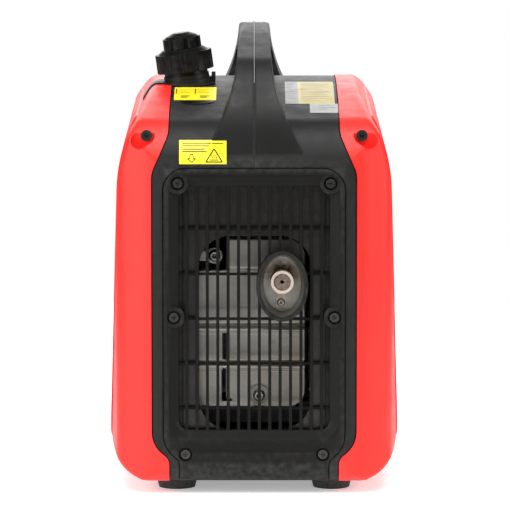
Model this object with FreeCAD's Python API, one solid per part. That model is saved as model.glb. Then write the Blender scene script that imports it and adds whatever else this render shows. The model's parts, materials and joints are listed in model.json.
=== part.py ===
"""Portable inverter generator, about 2 kW: a petrol engine and alternator in a two-colour plastic housing.

Frame: millimetres, +Z up, origin on the ground midway between the four feet.
-Y is the exhaust end with the slotted grille, +Y is the control panel end, +X is the starter side.
Each function below makes one piece, or one group of identical pieces, and main() writes each to parts/NAME.step.
"""
import FreeCAD
import Part
import math
import os

V = FreeCAD.Vector

# ---------------------------------------------------------------- overall sizes
LENGTH = 500.0            # exhaust collar to engine dial
WIDTH = 285.0             # across the raised side fields
HEIGHT = 444.0            # ground to the top of the handle
FOOT_H = 12.0             # ground to the underside of the housing
HANDLE_RISE = 56.0        # top of the deck to the top of the handle
PROUD = 6.0               # what the collar and the dial stand out past the end walls

# ---------------------------------------------------------------- housing
WALL = 3.0                # moulded wall of every housing shell
EDGE_R = 7.0              # rounding of the housing's outer edges
FIELD_PROUD = 1.8         # how far the side fields stand out
BAND_STEP = 1.0           # the black band lies this much below the red covers
SEAM = 0.7                # visible gap between neighbouring shells
HALF_SEAM = 0.15          # gap of the centre joint, each side
FIT = 0.3                 # clearance between pieces that only touch
RUN = 0.05                # running clearance of a spindle in its bore
LIP = 8.0                 # overlap of the band's hidden lip behind a cover
LIP_T = 2.0               # thickness of that lip

END_Y = LENGTH / 2 - PROUD              # plane of both end walls
HALF_W = WIDTH / 2 - FIELD_PROUD        # half width under the raised field
BOTTOM = FOOT_H
DECK = HEIGHT - HANDLE_RISE             # highest point of the deck
SHOULDER = DECK - 26.0                  # where the end walls' rounding aims

# ---------------------------------------------------------------- engine position
CRANK_Z = 150.0           # height of the crank axis, which runs along Y at x = 0
CRANK_Y = -END_Y + 181.0  # middle of the crank pin
TILT = math.radians(42)   # lean of the cylinder towards -X

# ---------------------------------------------------------------- exhaust
PIPE_X = 27.4             # tail pipe axis
PIPE_Z = 211.0
PIPE_R = 10.0
PIPE_WALL = 1.5
COLLAR_Z = 208.0          # axis of the grille's oval collar, which shares the pipe's X
COLLAR_RX = 25.3          # oval collar of the grille, half sizes
COLLAR_RZ = 34.5
COLLAR_WALL = 2.6
DISH_T = 1.0              # sheet of the dish in the collar
DISH_DEPTH = 22.0

# ---------------------------------------------------------------- rear grille
GRILLE_HALF = 88.6        # half width of the grille panel
GRILLE_FOOT_HALF = 72.8   # half width of its narrow foot
GRILLE_T = 11.5           # depth of the panel, front to back
GRILLE_TOP = DECK - 65.2
FIELD_HALF = 74.0         # half width of the slotted field
FIELD_TOP = DECK - 82.6
FIELD_LOW = BOTTOM + 52.3
DISHING = 4.5             # the slotted field lies this deep in the panel
BAR_PITCH = 10.18
BAR_W = 3.0
BAR_DEPTH = 7.0
RUNG_H = 2.4
RUNG_DEPTH = 3.2
RUNGS = 5
SCREW_CUP_R = 6.6         # ring round each grille screw
SCREW_HEAD_R = 4.6
SCREW_SHANK_R = 2.0

# ---------------------------------------------------------------- filler
NECK_X = -67.0
NECK_Y = -END_Y + 210.0
NECK_TILT = math.radians(8)
NECK_R = 22.0
NECK_BORE = 18.5
NECK_H = 22.0             # neck above the deck, along its axis
CAP_R = 28.7
CAP_H = 23.0
CAP_LOBES = 14
CAP_DENT = 2.0            # depth that sets how far the flutes bite into the rim
KNOB_R = 19.3
KNOB_H = 15.5
KNOB_LOBES = 7
KNOB_DENT = 4.5
CAP_BASE = 18.0           # underside of the cap above the deck
COLLAR_R = 25.0           # collar on the deck round the neck
COLLAR_STEP = 9.0

# ---------------------------------------------------------------- feet
FOOT_R = 21.0
FOOT_X = 76.5
FOOT_IN = 54.0            # end wall to the foot's centre
FOOT_Y = END_Y - FOOT_IN
TRAY_EDGE = 23.0          # the tray's plate reaches this far past the feet's centres
TRAY_T = 4.0
TRAY_FLANGE = 8.0         # what its flange reaches further, on top of the shells' floor
TRAY_FLANGE_T = 3.0
TRAY_RIB = 4.0            # thickness of its ribs

# ---------------------------------------------------------------- starter
REEL_R = 36.0             # winding radius of the reel's groove
ROPE_R = 2.0
REEL_Y = CRANK_Y + 161.0
ROPE_Z = CRANK_Z + REEL_R + ROPE_R
POCKET_L = 104.0          # finger pocket in the side cover
POCKET_H = 46.0
POCKET_DEPTH = 25.0
GRIP_L = 84.0
GRIP_H = 15.0

# ---------------------------------------------------------------- maintenance door, on the -X side
DOOR_Y0 = CRANK_Y - 8.0
DOOR_Y1 = CRANK_Y + 212.0
DOOR_Z0 = BOTTOM + 68.0
DOOR_Z1 = BOTTOM + 288.0
DOOR_R = 18.0
LATCH_R = 13.0

# ---------------------------------------------------------------- control panel
PANEL_HALF = 84.0
PANEL_Z0 = BOTTOM + 123.0
PANEL_Z1 = PANEL_Z0 + 190.0
PANEL_T = 3.0
PANEL_SUNK = 7.0          # panel face below the end wall
SOCKET_X = 38.0
SOCKET_Z = PANEL_Z0 + 46.0
SOCKET_SIZE = 58.0
SOCKET_WELL_R = 19.75
SOCKET_WELL = 16.0
DIAL_X = 50.0
DIAL_Z = PANEL_Z0 + 140.0
DIAL_R = 22.0


# ================================================================ helpers
def place(plane, u, v, w):
    """A point of a plane's own (u, v), at depth w."""
    return {"XZ": V(u, w, v), "YZ": V(w, u, v), "XY": V(u, v, w)}[plane]


def corner(before, at, after):
    """Start, middle and end of the arc that rounds one corner, or one point three times."""
    u, v, r = at
    a = (before[0] - u, before[1] - v)
    b = (after[0] - u, after[1] - v)
    la, lb = math.hypot(*a), math.hypot(*b)
    a = (a[0] / la, a[1] / la)
    b = (b[0] / lb, b[1] / lb)
    angle = math.acos(max(-1.0, min(1.0, a[0] * b[0] + a[1] * b[1])))
    if r <= 0 or angle > math.pi - 1e-6:
        return (u, v), None, (u, v)
    cut = r / math.tan(angle / 2)
    reach = r / math.sin(angle / 2) - r
    m = (a[0] + b[0], a[1] + b[1])
    lm = math.hypot(*m)
    start = (u + a[0] * cut, v + a[1] * cut)
    middle = (u + m[0] / lm * reach, v + m[1] / lm * reach)
    return start, middle, (u + b[0] * cut, v + b[1] * cut)


def outline(plane, points, w=0.0):
    """A closed wire through (u, v, corner radius) points."""
    n = len(points)
    corners = [corner(points[i - 1], points[i], points[(i + 1) % n]) for i in range(n)]
    edges = []
    for i in range(n):
        start, middle, end = corners[i]
        if middle:
            arc = Part.Arc(place(plane, *start, w), place(plane, *middle, w), place(plane, *end, w))
            edges.append(arc.toShape())
        following = corners[(i + 1) % n][0]
        if math.hypot(following[0] - end[0], following[1] - end[1]) > 1e-6:
            edges.append(Part.makeLine(place(plane, *end, w), place(plane, *following, w)))
    return Part.Wire(edges)


def prism(plane, points, low, high):
    """An outline pushed from low to high along its plane's normal."""
    solid = Part.Face(outline(plane, points, low)).extrude(place(plane, 0, 0, high - low))
    return solid if solid.Volume > 0 else solid.reversed()


def inset(points, d):
    """The same rounded outline, d further in (or out, if d is negative)."""
    n = len(points)
    area = sum(points[i - 1][0] * points[i][1] - points[i][0] * points[i - 1][1] for i in range(n))
    turn = 1 if area > 0 else -1
    lines = []
    for i in range(n):
        (u0, v0, _), (u1, v1, _) = points[i], points[(i + 1) % n]
        length = math.hypot(u1 - u0, v1 - v0)
        du, dv = (u1 - u0) / length, (v1 - v0) / length
        lines.append((u0 - dv * turn * d, v0 + du * turn * d, du, dv))
    moved = []
    for i in range(n):
        u1, v1, du1, dv1 = lines[i - 1]
        u2, v2, du2, dv2 = lines[i]
        cross = du1 * dv2 - dv1 * du2
        t = ((u2 - u1) * dv2 - (v2 - v1) * du2) / cross
        r = points[i][2]
        rounder = max(r - d, 0.2) if cross * turn > 0 else max(r + d, 0.2)
        moved.append((u1 + du1 * t, v1 + dv1 * t, rounder if r > 0 else 0))
    return moved


def both_halves(points):
    """Mirrors the right half of an outline, given from bottom to top, to close it."""
    return points + [(-u, v, r) for u, v, r in reversed(points)]


def plate(u0, u1, v0, v1, r):
    """The four corners of a rounded rectangle."""
    return [(u0, v0, r), (u1, v0, r), (u1, v1, r), (u0, v1, r)]


def box(x0, x1, y0, y1, z0, z1):
    return Part.makeBox(x1 - x0, y1 - y0, z1 - z0, V(x0, y0, z0))


def rod(base, direction, radius, length):
    """A round bar from base along direction."""
    return Part.makeCylinder(radius, length, V(*base), V(*direction))


def rod_y(x, z, radius, y0, y1):
    return rod((x, y0, z), (0, 1, 0), radius, y1 - y0)


def tube_y(x, z, outer, bore, y0, y1):
    return rod_y(x, z, outer, y0, y1).cut(rod_y(x, z, bore, y0 - 1, y1 + 1))


def fuse(shapes):
    first, *rest = shapes
    return first.fuse(rest).removeSplitter() if rest else first


def mirrored(shape):
    """The shape across the x = 0 plane."""
    return shape.mirror(V(0, 0, 0), V(1, 0, 0))


def largest(shape):
    """The one biggest solid, without crumbs left by a cut."""
    return max(shape.Solids, key=lambda s: s.Volume)


def rounded(shape, radius, keep):
    """Fillets the edges for which keep(edge) is true."""
    edges = [e for e in shape.Edges if keep(e)]
    return shape.makeFillet(radius, edges) if edges else shape


def pipe(points, radius, bends):
    """A round bar along straight runs that tangent arcs of the given radii join."""
    p = [V(*q) for q in points]
    edges = []
    at = p[0]
    for i in range(1, len(p) - 1):
        a = (p[i - 1] - p[i]).normalize()
        b = (p[i + 1] - p[i]).normalize()
        angle = a.getAngle(b)
        cut = bends[i - 1] / math.tan(angle / 2)
        start, end = p[i] + a * cut, p[i] + b * cut
        centre = p[i] + (a + b).normalize() * (bends[i - 1] / math.sin(angle / 2))
        middle = centre + (p[i] - centre).normalize() * bends[i - 1]
        if (start - at).Length > 1e-6:
            edges.append(Part.makeLine(at, start))
        edges.append(Part.Arc(start, middle, end).toShape())
        at = end
    edges.append(Part.makeLine(at, p[-1]))
    spine = Part.Wire(edges)
    section = Part.Wire(Part.makeCircle(radius, p[0], (p[1] - p[0]).normalize()))
    return spine.makePipeShell([section], True, True)


# ================================================================ housing form
SIDE_VIEW = [
    (-END_Y, BOTTOM, 18), (END_Y, BOTTOM, 18), (END_Y, SHOULDER, 50),
    (0, SHOULDER + END_Y * math.tan(math.radians(9.5)), 1064), (-END_Y, SHOULDER, 50),
]
END_VIEW = both_halves([
    (HALF_W + 1.1, BOTTOM, 42), (HALF_W - 7.2, DECK - 74, 160), (HALF_W - 17.4, DECK - 35, 28),
    (HALF_W - 39.9, DECK + 1.5, 18),
])
QUARTER_PLAN = [(HALF_W - 40.7, 60), (HALF_W - 6.7, 24), (HALF_W + 1.5, 60)]
PLAN_BACK = [END_Y, END_Y - 20, END_Y - 58]
TOP_VIEW = (
    [(x, -y, r) for (x, r), y in zip(QUARTER_PLAN, PLAN_BACK)]
    + [(x, y, r) for (x, r), y in reversed(list(zip(QUARTER_PLAN, PLAN_BACK)))]
    + [(-x, y, r) for (x, r), y in zip(QUARTER_PLAN, PLAN_BACK)]
    + [(-x, -y, r) for (x, r), y in reversed(list(zip(QUARTER_PLAN, PLAN_BACK)))]
)
BAND = both_halves([
    (HALF_W - 58.1, -10, 0), (HALF_W - 58.1, BOTTOM + 24, 12), (HALF_W - 40.9, BOTTOM + 38, 26),
    (HALF_W - 40.9, DECK - 70, 30), (HALF_W - 57.4, DECK - 33, 26), (HALF_W - 59.2, HEIGHT + 40, 0),
])
GRILLE = both_halves([
    (GRILLE_FOOT_HALF, BOTTOM - 5, 0), (GRILLE_FOOT_HALF, BOTTOM + 22, 10),
    (GRILLE_HALF, BOTTOM + 37, 26), (GRILLE_HALF, GRILLE_TOP, 22),
])
PANEL = plate(-PANEL_HALF, PANEL_HALF, PANEL_Z0, PANEL_Z1, 14)


def sharp_form(depth):
    """The housing's form with sharp edges: its three views, depth further in, pushed through each other."""
    reach = LENGTH + WIDTH
    form = prism("YZ", inset(SIDE_VIEW, depth), -reach, reach)
    form = form.common(prism("XZ", inset(END_VIEW, depth), -reach, reach))
    form = form.common(prism("XY", inset(TOP_VIEW, depth), 0, reach))
    return largest(form)


CORE = sharp_form(EDGE_R)


def housing(depth):
    """The housing as one solid, its skin depth below the outer surface (negative is proud)."""
    if depth > EDGE_R - 0.5:
        return sharp_form(depth)
    return CORE.makeOffsetShape(EDGE_R - depth, 0.01, False, False, 0, 0, False)


SKIN = housing(0)
BAND_SKIN = housing(BAND_STEP)
COVER_CAVITY = housing(WALL)
BAND_CAVITY = housing(BAND_STEP + WALL)
BAND_PRISM = prism("XZ", BAND, -LENGTH, LENGTH)
OUTSIDE_BAND = prism("XZ", inset(BAND, -SEAM), -LENGTH, LENGTH)


def tray_plate(grow, low, high):
    """A plate over the housing's floor, grow larger than the opening that the base tray fills."""
    x, y = FOOT_X + TRAY_EDGE + grow, FOOT_Y + TRAY_EDGE + grow
    return prism("XY", plate(-x, x, -y, y, 12), low, high)


TRAY_TOP = BOTTOM + TRAY_T + TRAY_FLANGE_T
TRAY_ROOM = tray_plate(FIT, 0, BOTTOM + TRAY_T).fuse(
    tray_plate(TRAY_FLANGE + FIT, BOTTOM + TRAY_T, TRAY_TOP + FIT))


# ================================================================ handle
BAR_H = 24.0              # handle bar, top to bottom
BAR_HALF = 15.0           # half width of the bar
BAR_R = 11.0              # rounding of its top corners
ARCH_SLOPE = math.radians(8)            # the bar falls off to both ends at this angle
ARCH_R = 700.0            # rounding of the arch at its middle
ARCH_TOP = HEIGHT + ARCH_R * (1 / math.cos(ARCH_SLOPE) - 1)
ARCH_AT = END_Y - 46.0    # middle of the handle to the knee over each leg
GAP_END = 94.0            # end wall to the hand gap, at the gap's floor
GAP_KNEE = END_Y - GAP_END - 4.0
HANDLE_WALL = 3.5
HANDLE_FOOT = DECK - 95.0
BEAD_HALF = 1.2           # half width of the raised line along the handle's centre joint
BEAD_H = 0.7


def arch_height(y, depth):
    """Height of the arch's straight flank at y, depth below the bar's top."""
    return ARCH_TOP - abs(y) * math.tan(ARCH_SLOPE) - depth / math.cos(ARCH_SLOPE)


HANDLE_SIDE = [
    (-END_Y + 0.5, HANDLE_FOOT, 0), (END_Y - 0.5, HANDLE_FOOT, 0), (END_Y - 7, DECK - 14, 60),
    (ARCH_AT, arch_height(ARCH_AT, 0), 60), (0, ARCH_TOP, ARCH_R), (-ARCH_AT, arch_height(ARCH_AT, 0), 60),
    (-END_Y + 7, DECK - 14, 60),
]
HAND_GAP = [
    (-END_Y + GAP_END, DECK - 30, 0), (END_Y - GAP_END, DECK - 30, 0),
    (GAP_KNEE, arch_height(GAP_KNEE, BAR_H), 22), (0, arch_height(0, BAR_H), ARCH_R - BAR_H),
    (-GAP_KNEE, arch_height(GAP_KNEE, BAR_H), 22),
]
FLARE = both_halves([(70.5, HANDLE_FOOT, 0), (19.1, DECK + 4, 160), (BAR_HALF, HEIGHT, BAR_R)])


def handle(depth):
    """The handle loop as one solid, depth below its outer surface."""
    loop = prism("YZ", inset(HANDLE_SIDE, depth), -WIDTH, WIDTH)
    loop = loop.cut(prism("YZ", inset(HAND_GAP, -depth), -WIDTH, WIDTH))
    return largest(loop.common(prism("XZ", inset(FLARE, depth), -LENGTH, LENGTH)))


# ================================================================ housing shells
GRILLE_Y = -END_Y + GRILLE_T          # back of the grille panel
FLANGE_T = 2.5                        # frame's flange behind the grille
FLANGE_W = 19.0
RIGHT = box(HALF_SEAM, LENGTH, -LENGTH, LENGTH, -LENGTH, LENGTH)
NECK_AXIS = V(-math.sin(NECK_TILT), 0, math.cos(NECK_TILT))
NECK_FOOT = V(NECK_X, NECK_Y, DECK - 6)
GRILLE_SCREWS = [
    (sx * x, z) for sx in (-1, 1)
    for x, z in ((74.5, GRILLE_TOP - 14.5), (78.5, BOTTOM + 164.5), (67.3, BOTTOM + 28.9))
]
COVER_SCREW_X = HALF_W - 35.7
COVER_SCREW_Z = DECK - 34.0
SCOOP_R = 8.0
SCOOP_L = 9.0
SCOOP_FLOOR = END_Y - 16.0
LOUVRES = 6
LOUVRE_PITCH = 10.0
LOUVRE_H = 4.5


def on_neck(along, out=0.0):
    """A point on the filler's axis, along it from the deck and out from it towards +X."""
    side = V(math.cos(NECK_TILT), 0, math.sin(NECK_TILT))
    return NECK_FOOT + NECK_AXIS * along + side * out


def neck_rod(radius, start, length):
    return Part.makeCylinder(radius, length, on_neck(start), NECK_AXIS)


NECK_HOLE = neck_rod(NECK_R + 1.2, -30, 60)


def grille_outline(grow):
    return inset(GRILLE, -grow)


def frame_band():
    """The black housing between the covers, both halves still in one, with the handle."""
    band = BAND_SKIN.cut(BAND_CAVITY).common(BAND_PRISM)
    loop = handle(0).cut(handle(HANDLE_WALL)).cut(BAND_CAVITY)
    bead = prism("YZ", inset(HANDLE_SIDE, -BEAD_H), -BEAD_HALF, BEAD_HALF)
    bead = bead.cut(prism("YZ", inset(HANDLE_SIDE, 1), -BEAD_HALF - 1, BEAD_HALF + 1))
    bead = bead.cut(box(-WIDTH, WIDTH, -LENGTH, LENGTH, 0, HANDLE_FOOT + 5))
    lip = housing(WALL + FIT).cut(housing(WALL + FIT + LIP_T))
    lip = lip.common(prism("XZ", inset(BAND, -LIP), -LENGTH, LENGTH))
    lip = lip.cut(prism("XZ", inset(BAND, LIP), -LENGTH, LENGTH))
    well = prism("XZ", grille_outline(SEAM + 2.5), -END_Y + WALL, GRILLE_Y + FLANGE_T)
    well = well.cut(prism("XZ", grille_outline(SEAM), -END_Y, GRILLE_Y))
    well = well.cut(prism("XZ", grille_outline(-FLANGE_W), -END_Y, 0)).common(BAND_SKIN)
    band = band.fuse([loop, bead, lip, well])
    band = band.cut(prism("XZ", grille_outline(SEAM), -LENGTH, GRILLE_Y))
    band = band.cut(prism("XZ", inset(PANEL, -FIT), END_Y - 20, LENGTH))
    band = band.cut(TRAY_ROOM)
    for i in range(2 * LOUVRES):
        x = (i - LOUVRES + 0.5) * LOUVRE_PITCH
        slot = plate(x - LOUVRE_H / 2, x + LOUVRE_H / 2, BOTTOM + 30, PANEL_Z0 - 18, 2)
        band = band.cut(prism("XZ", slot, END_Y - 20, LENGTH))
    for x, z in GRILLE_SCREWS:
        band = band.cut(rod_y(x, z, SCREW_SHANK_R, -END_Y, GRILLE_Y + 6))
    return band


def frame_shells():
    """Right and left halves of the band; the left one is pierced by the filler neck."""
    right = largest(frame_band().common(RIGHT))
    return right, largest(mirrored(right).cut(NECK_HOLE))


FIELD = plate(-END_Y + 58, END_Y - 58, BOTTOM + 33, DECK - 22, 34)


def scoop(grow, end, start, depth):
    """The oblong hollow of a cover screw at one end of the housing (end is -1 or 1)."""
    lean = math.radians(-35)
    u, v = SCOOP_L * math.cos(lean), SCOOP_L * math.sin(lean)
    low, high = sorted((end * start, end * depth))
    r = SCOOP_R + grow
    nu, nv = -math.sin(lean) * r, math.cos(lean) * r
    x, z = COVER_SCREW_X, COVER_SCREW_Z
    arc0 = [(x - nu, z - nv), (x - math.cos(lean) * r, z - math.sin(lean) * r), (x + nu, z + nv)]
    arc1 = [(x + u + nu, z + v + nv), (x + u + math.cos(lean) * r, z + v + math.sin(lean) * r),
            (x + u - nu, z + v - nv)]
    points = [[place("XZ", *p, low) for p in arc] for arc in (arc0, arc1)]
    edges = [
        Part.Arc(*points[0]).toShape(), Part.makeLine(points[0][2], points[1][0]),
        Part.Arc(*points[1]).toShape(), Part.makeLine(points[1][2], points[0][0]),
    ]
    return Part.Face(Part.Wire(edges)).extrude(V(0, high - low, 0))


def plain_cover():
    """The +X cover with its raised field and screw scoops, before anything is cut for one side only."""
    raised = housing(-FIELD_PROUD).common(prism("YZ", FIELD, HALF_W - 45, LENGTH))
    cups = [scoop(2.5, end, END_Y, SCOOP_FLOOR - 2.5).common(SKIN) for end in (-1, 1)]
    cover = SKIN.common(RIGHT).fuse(raised).cut(COVER_CAVITY)
    cover = cover.fuse(cups)
    for end in (-1, 1):
        cover = cover.cut(scoop(0, end, LENGTH, SCOOP_FLOOR))
        low, high = sorted((end * (SCOOP_FLOOR - 4), end * LENGTH))
        cover = cover.cut(rod_y(COVER_SCREW_X, COVER_SCREW_Z, SCREW_SHANK_R, low, high))
    cover = cover.cut(OUTSIDE_BAND).cut(TRAY_ROOM)
    return largest(cover)


COVER = plain_cover()
POCKET_Y = REEL_Y
POCKET_FLOOR = HALF_W - POCKET_DEPTH
GUIDE_R = 6.0
DOOR = plate(DOOR_Y0, DOOR_Y1, DOOR_Z0, DOOR_Z1, DOOR_R)
LATCH_Y = (DOOR_Y0 + DOOR_Y1) / 2
LATCH_Z = DOOR_Z1 - 32.0


def pocket(grow, floor):
    """The rounded hollow in which the starter grip lies."""
    y, z = POCKET_L / 2 + grow, POCKET_H / 2 + grow
    return prism("YZ", plate(POCKET_Y - y, POCKET_Y + y, ROPE_Z - z, ROPE_Z + z, 18 + grow), floor, WIDTH)


def side_cover_right():
    """Starter side: the plain cover with the finger pocket and the cooling air louvres."""
    cover = COVER.fuse(pocket(2.5, POCKET_FLOOR - 2.5).common(SKIN)).cut(pocket(0, POCKET_FLOOR))
    cover = cover.cut(rod((0, POCKET_Y, ROPE_Z), (1, 0, 0), GUIDE_R, WIDTH))
    for i in range(LOUVRES):
        z = BOTTOM + 62 + i * LOUVRE_PITCH
        slot = plate(REEL_Y - 58, REEL_Y + 42, z, z + LOUVRE_H, 2)
        cover = cover.cut(prism("YZ", slot, HALF_W - 20, WIDTH))
    return largest(cover)


def side_cover_left():
    """Service side: the plain cover with the door's opening and a rebate behind its edge."""
    reach = -HALF_W / 2
    rim = COVER_CAVITY.cut(housing(WALL + LIP_T)).common(prism("YZ", inset(DOOR, -6), -WIDTH, reach))
    opening = prism("YZ", DOOR, -WIDTH, reach)
    within = prism("YZ", inset(DOOR, LIP), -WIDTH, reach)
    return largest(mirrored(COVER).cut(opening).fuse(rim).cut(within).cut(NECK_HOLE))


def maintenance_door():
    """The lift-off panel over the plug, the air cleaner and the oil filler."""
    raised = housing(-FIELD_PROUD).common(prism("YZ", FIELD, -LENGTH, -HALF_W + 45))
    door = SKIN.fuse(raised).cut(housing(WALL - FIT))
    door = door.common(prism("YZ", inset(DOOR, SEAM), -WIDTH, -HALF_W / 2))
    boss = rod((-HALF_W + 17, LATCH_Y, LATCH_Z), (-1, 0, 0), LATCH_R + 4, 30).common(SKIN)
    door = door.fuse(boss).cut(rod((-HALF_W + 12 + FIT, LATCH_Y, LATCH_Z), (-1, 0, 0), LATCH_R + 1.2, 60))
    return largest(door.cut(rod((0, LATCH_Y, LATCH_Z), (-1, 0, 0), 4.0 + RUN, WIDTH)))


def door_latch_knob():
    """Quarter-turn knob: a round head with a finger bar on a short spindle."""
    face = -HALF_W + 12
    head = rod((face, LATCH_Y, LATCH_Z), (-1, 0, 0), LATCH_R, 4)
    bar = box(face - 8, face - 3, LATCH_Y - 3, LATCH_Y + 3, LATCH_Z - LATCH_R + 2, LATCH_Z + LATCH_R - 2)
    spindle = rod((face + 7, LATCH_Y, LATCH_Z), (-1, 0, 0), 4.0, 8)
    return fuse([head, bar, spindle])


def cover_screws():
    """One screw in each scoop, four in all."""
    screws = []
    for side in (-1, 1):
        for end in (-1, 1):
            at = (side * COVER_SCREW_X, end * SCOOP_FLOOR, COVER_SCREW_Z)
            head = rod(at, (0, end, 0), SCREW_HEAD_R + 1, 4)
            shank = rod(at, (0, -end, 0), SCREW_SHANK_R, 10)
            socket = rod((at[0], end * (SCOOP_FLOOR + 1.5), at[2]), (0, end, 0), 2.4, 5)
            screws.append(fuse([head, shank]).cut(socket))
    return Part.makeCompound(screws)


def tray_ribs(grow):
    """The tray's two stiffening ribs, outside the engine mounts."""
    half = TRAY_RIB / 2 + grow
    rib_x = MOUNT_X + MOUNT_R + 1 + TRAY_RIB / 2
    return [box(side * rib_x - half, side * rib_x + half, -FOOT_Y, FOOT_Y, TRAY_TOP - grow, TRAY_TOP + 5 + grow)
            for side in (-1, 1)]


def base_tray():
    """Plate in the housing's floor with a flange over the shells' edges and two stiffening ribs."""
    tray = tray_plate(0, BOTTOM, BOTTOM + TRAY_T)
    tray = tray.fuse(tray_plate(TRAY_FLANGE, BOTTOM + TRAY_T, TRAY_TOP))
    ribs = tray_ribs(0)
    for x, y in feet_places():
        tray = tray.cut(rod((x, y, 0), (0, 0, 1), SCREW_SHANK_R + 1, TRAY_TOP))
    return fuse([tray] + ribs)


def feet_places():
    return [(sx * FOOT_X, sy * FOOT_Y) for sx in (-1, 1) for sy in (-1, 1)]


def rubber_feet():
    """Four tapered feet, each with a screw hole from below."""
    feet = []
    for x, y in feet_places():
        foot = Part.makeCone(FOOT_R - 3, FOOT_R, FOOT_H, V(x, y, 0), V(0, 0, 1))
        feet.append(foot.cut(rod((x, y, 0), (0, 0, 1), 5, FOOT_H / 2)))
    return Part.makeCompound(feet)


# ================================================================ rear grille and exhaust
def oval(y, rx, rz):
    """An upright oval wire round the collar's axis."""
    curve = Part.Ellipse(V(PIPE_X, y, COLLAR_Z + rz), V(PIPE_X + rx, y, COLLAR_Z), V(PIPE_X, y, COLLAR_Z))
    return Part.Wire(curve.toShape())


def oval_prism(rx, rz, y0, y1):
    return Part.Face(oval(y0, rx, rz)).extrude(V(0, y1 - y0, 0))


def rear_grille():
    """Panel with a sunk field of upright bars, thin rungs behind them, screw rings and the collar."""
    field = plate(-FIELD_HALF, FIELD_HALF, FIELD_LOW, FIELD_TOP, 10)
    sunk_y = -END_Y + DISHING
    panel = prism("XZ", GRILLE, -END_Y, GRILLE_Y).common(SKIN)
    dish = Part.makeLoft([outline("XZ", inset(field, -9), -END_Y - 0.01), outline("XZ", field, sunk_y)], True)
    panel = panel.cut(dish).cut(prism("XZ", field, sunk_y - 0.1, 0))
    parts = [panel]
    for i in range(14):
        x = (i - 6.5) * BAR_PITCH
        parts.append(box(x - BAR_W / 2, x + BAR_W / 2, sunk_y, sunk_y + BAR_DEPTH, FIELD_LOW - 1, FIELD_TOP + 1))
    for i in range(RUNGS):
        z = FIELD_LOW + 21.3 + i * (FIELD_TOP - FIELD_LOW - 64) / (RUNGS - 1)
        parts.append(box(-FIELD_HALF - 1, FIELD_HALF + 1, GRILLE_Y - RUNG_DEPTH, GRILLE_Y,
                         z - RUNG_H / 2, z + RUNG_H / 2))
    for x, z in GRILLE_SCREWS:
        ring = rod_y(x, z, SCREW_CUP_R + 3.8, -END_Y, GRILLE_Y)
        parts.append(ring.common(prism("XZ", GRILLE, -END_Y, GRILLE_Y)).common(SKIN))
    parts.append(oval_prism(COLLAR_RX, COLLAR_RZ, -LENGTH / 2, GRILLE_Y))
    panel = fuse(parts)
    panel = panel.cut(oval_prism(COLLAR_RX - COLLAR_WALL, COLLAR_RZ - COLLAR_WALL, -LENGTH, 0))
    for x, z in GRILLE_SCREWS:
        panel = panel.cut(rod_y(x, z, SCREW_CUP_R, -LENGTH, -END_Y + 3))
        panel = panel.cut(rod_y(x, z, SCREW_SHANK_R, -END_Y, 0))
    return largest(panel)


def rear_grille_screws():
    """Six pan-head screws with a cross recess in their cups."""
    screws = []
    for x, z in GRILLE_SCREWS:
        head = rod_y(x, z, SCREW_HEAD_R, -END_Y + 0.6, -END_Y + 3)
        shank = rod_y(x, z, SCREW_SHANK_R, -END_Y + 3, GRILLE_Y + FLANGE_T)
        cross = box(x - 2.4, x + 2.4, -END_Y, -END_Y + 2, z - 0.5, z + 0.5)
        cross = cross.fuse(box(x - 0.5, x + 0.5, -END_Y, -END_Y + 2, z - 2.4, z + 2.4))
        screws.append(fuse([head, shank]).cut(cross))
    return Part.makeCompound(screws)


BAFFLE_Y = GRILLE_Y + FLANGE_T
BAFFLE_T = 2.0


def rear_baffle():
    """Sheet behind the grille with one large rounded opening onto the muffler."""
    sheet = prism("XZ", grille_outline(-6), BAFFLE_Y, BAFFLE_Y + BAFFLE_T).common(housing(8))
    sheet = sheet.cut(prism("XZ", plate(-54, 55.5, BOTTOM + 52, GRILLE_TOP - 67.5, 30), -LENGTH, 0))
    return largest(sheet)


DISH_FLOOR = -LENGTH / 2 + 2 + DISH_DEPTH


def exhaust_dish():
    """Steel cup in the collar, narrowing to a floor through which the tail pipe comes."""
    rx, rz = COLLAR_RX - COLLAR_WALL - FIT, COLLAR_RZ - COLLAR_WALL - FIT
    mouth = DISH_FLOOR - DISH_DEPTH
    outer = Part.makeLoft([oval(mouth, rx, rz), oval(DISH_FLOOR, rx - 3, rz - 4)], True)
    inner = Part.makeLoft([oval(mouth - 0.1, rx - DISH_T, rz - DISH_T),
                           oval(DISH_FLOOR - DISH_T, rx - 3 - DISH_T, rz - 4 - DISH_T)], True)
    cup = outer.cut(inner).cut(rod_y(PIPE_X, PIPE_Z, PIPE_R + 1.5, -LENGTH, 0))
    return largest(cup.cut(rod_y(PIPE_X - 1, TAB_SCREW_Z, SCREW_SHANK_R, -LENGTH, 0)))


MUFFLER_X = 70.0
MUFFLER_Y0 = -END_Y + 47.0
MUFFLER_Y1 = CRANK_Y - 74.0
MUFFLER_Z0 = CRANK_Z - 66.0
MUFFLER_Z1 = CRANK_Z + 90.0
SHIELD_Y = -END_Y + 36.0
SHIELD_T = 1.2
PIPE_END = -END_Y + 6.0
TAB_HEAD_R = 3.9
TAB_REACH = 4.8           # clamp tab between its stem and its screw's head
TAB_SCREW_Z = PIPE_Z - PIPE_R - 2.5 - TAB_HEAD_R - FIT - TAB_REACH
EXHAUST_BOLTS = [(-39.0, COLLAR_Z + 25.0), (4.7, MUFFLER_Z0 + 10.0)]
HEAD_AT = 108.0           # crank axis to the middle of the cylinder head
UP = (-math.sin(TILT), math.cos(TILT))        # along the cylinder, as (x, z)
ACROSS = (math.cos(TILT), math.sin(TILT))
HEAD_X = UP[0] * HEAD_AT
HEAD_Z = CRANK_Z + UP[1] * HEAD_AT
HEAD_HALF = 36.0
HEAD_END = 40.0           # half length of the head along the crank axis
PORT_R = 11.0


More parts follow.
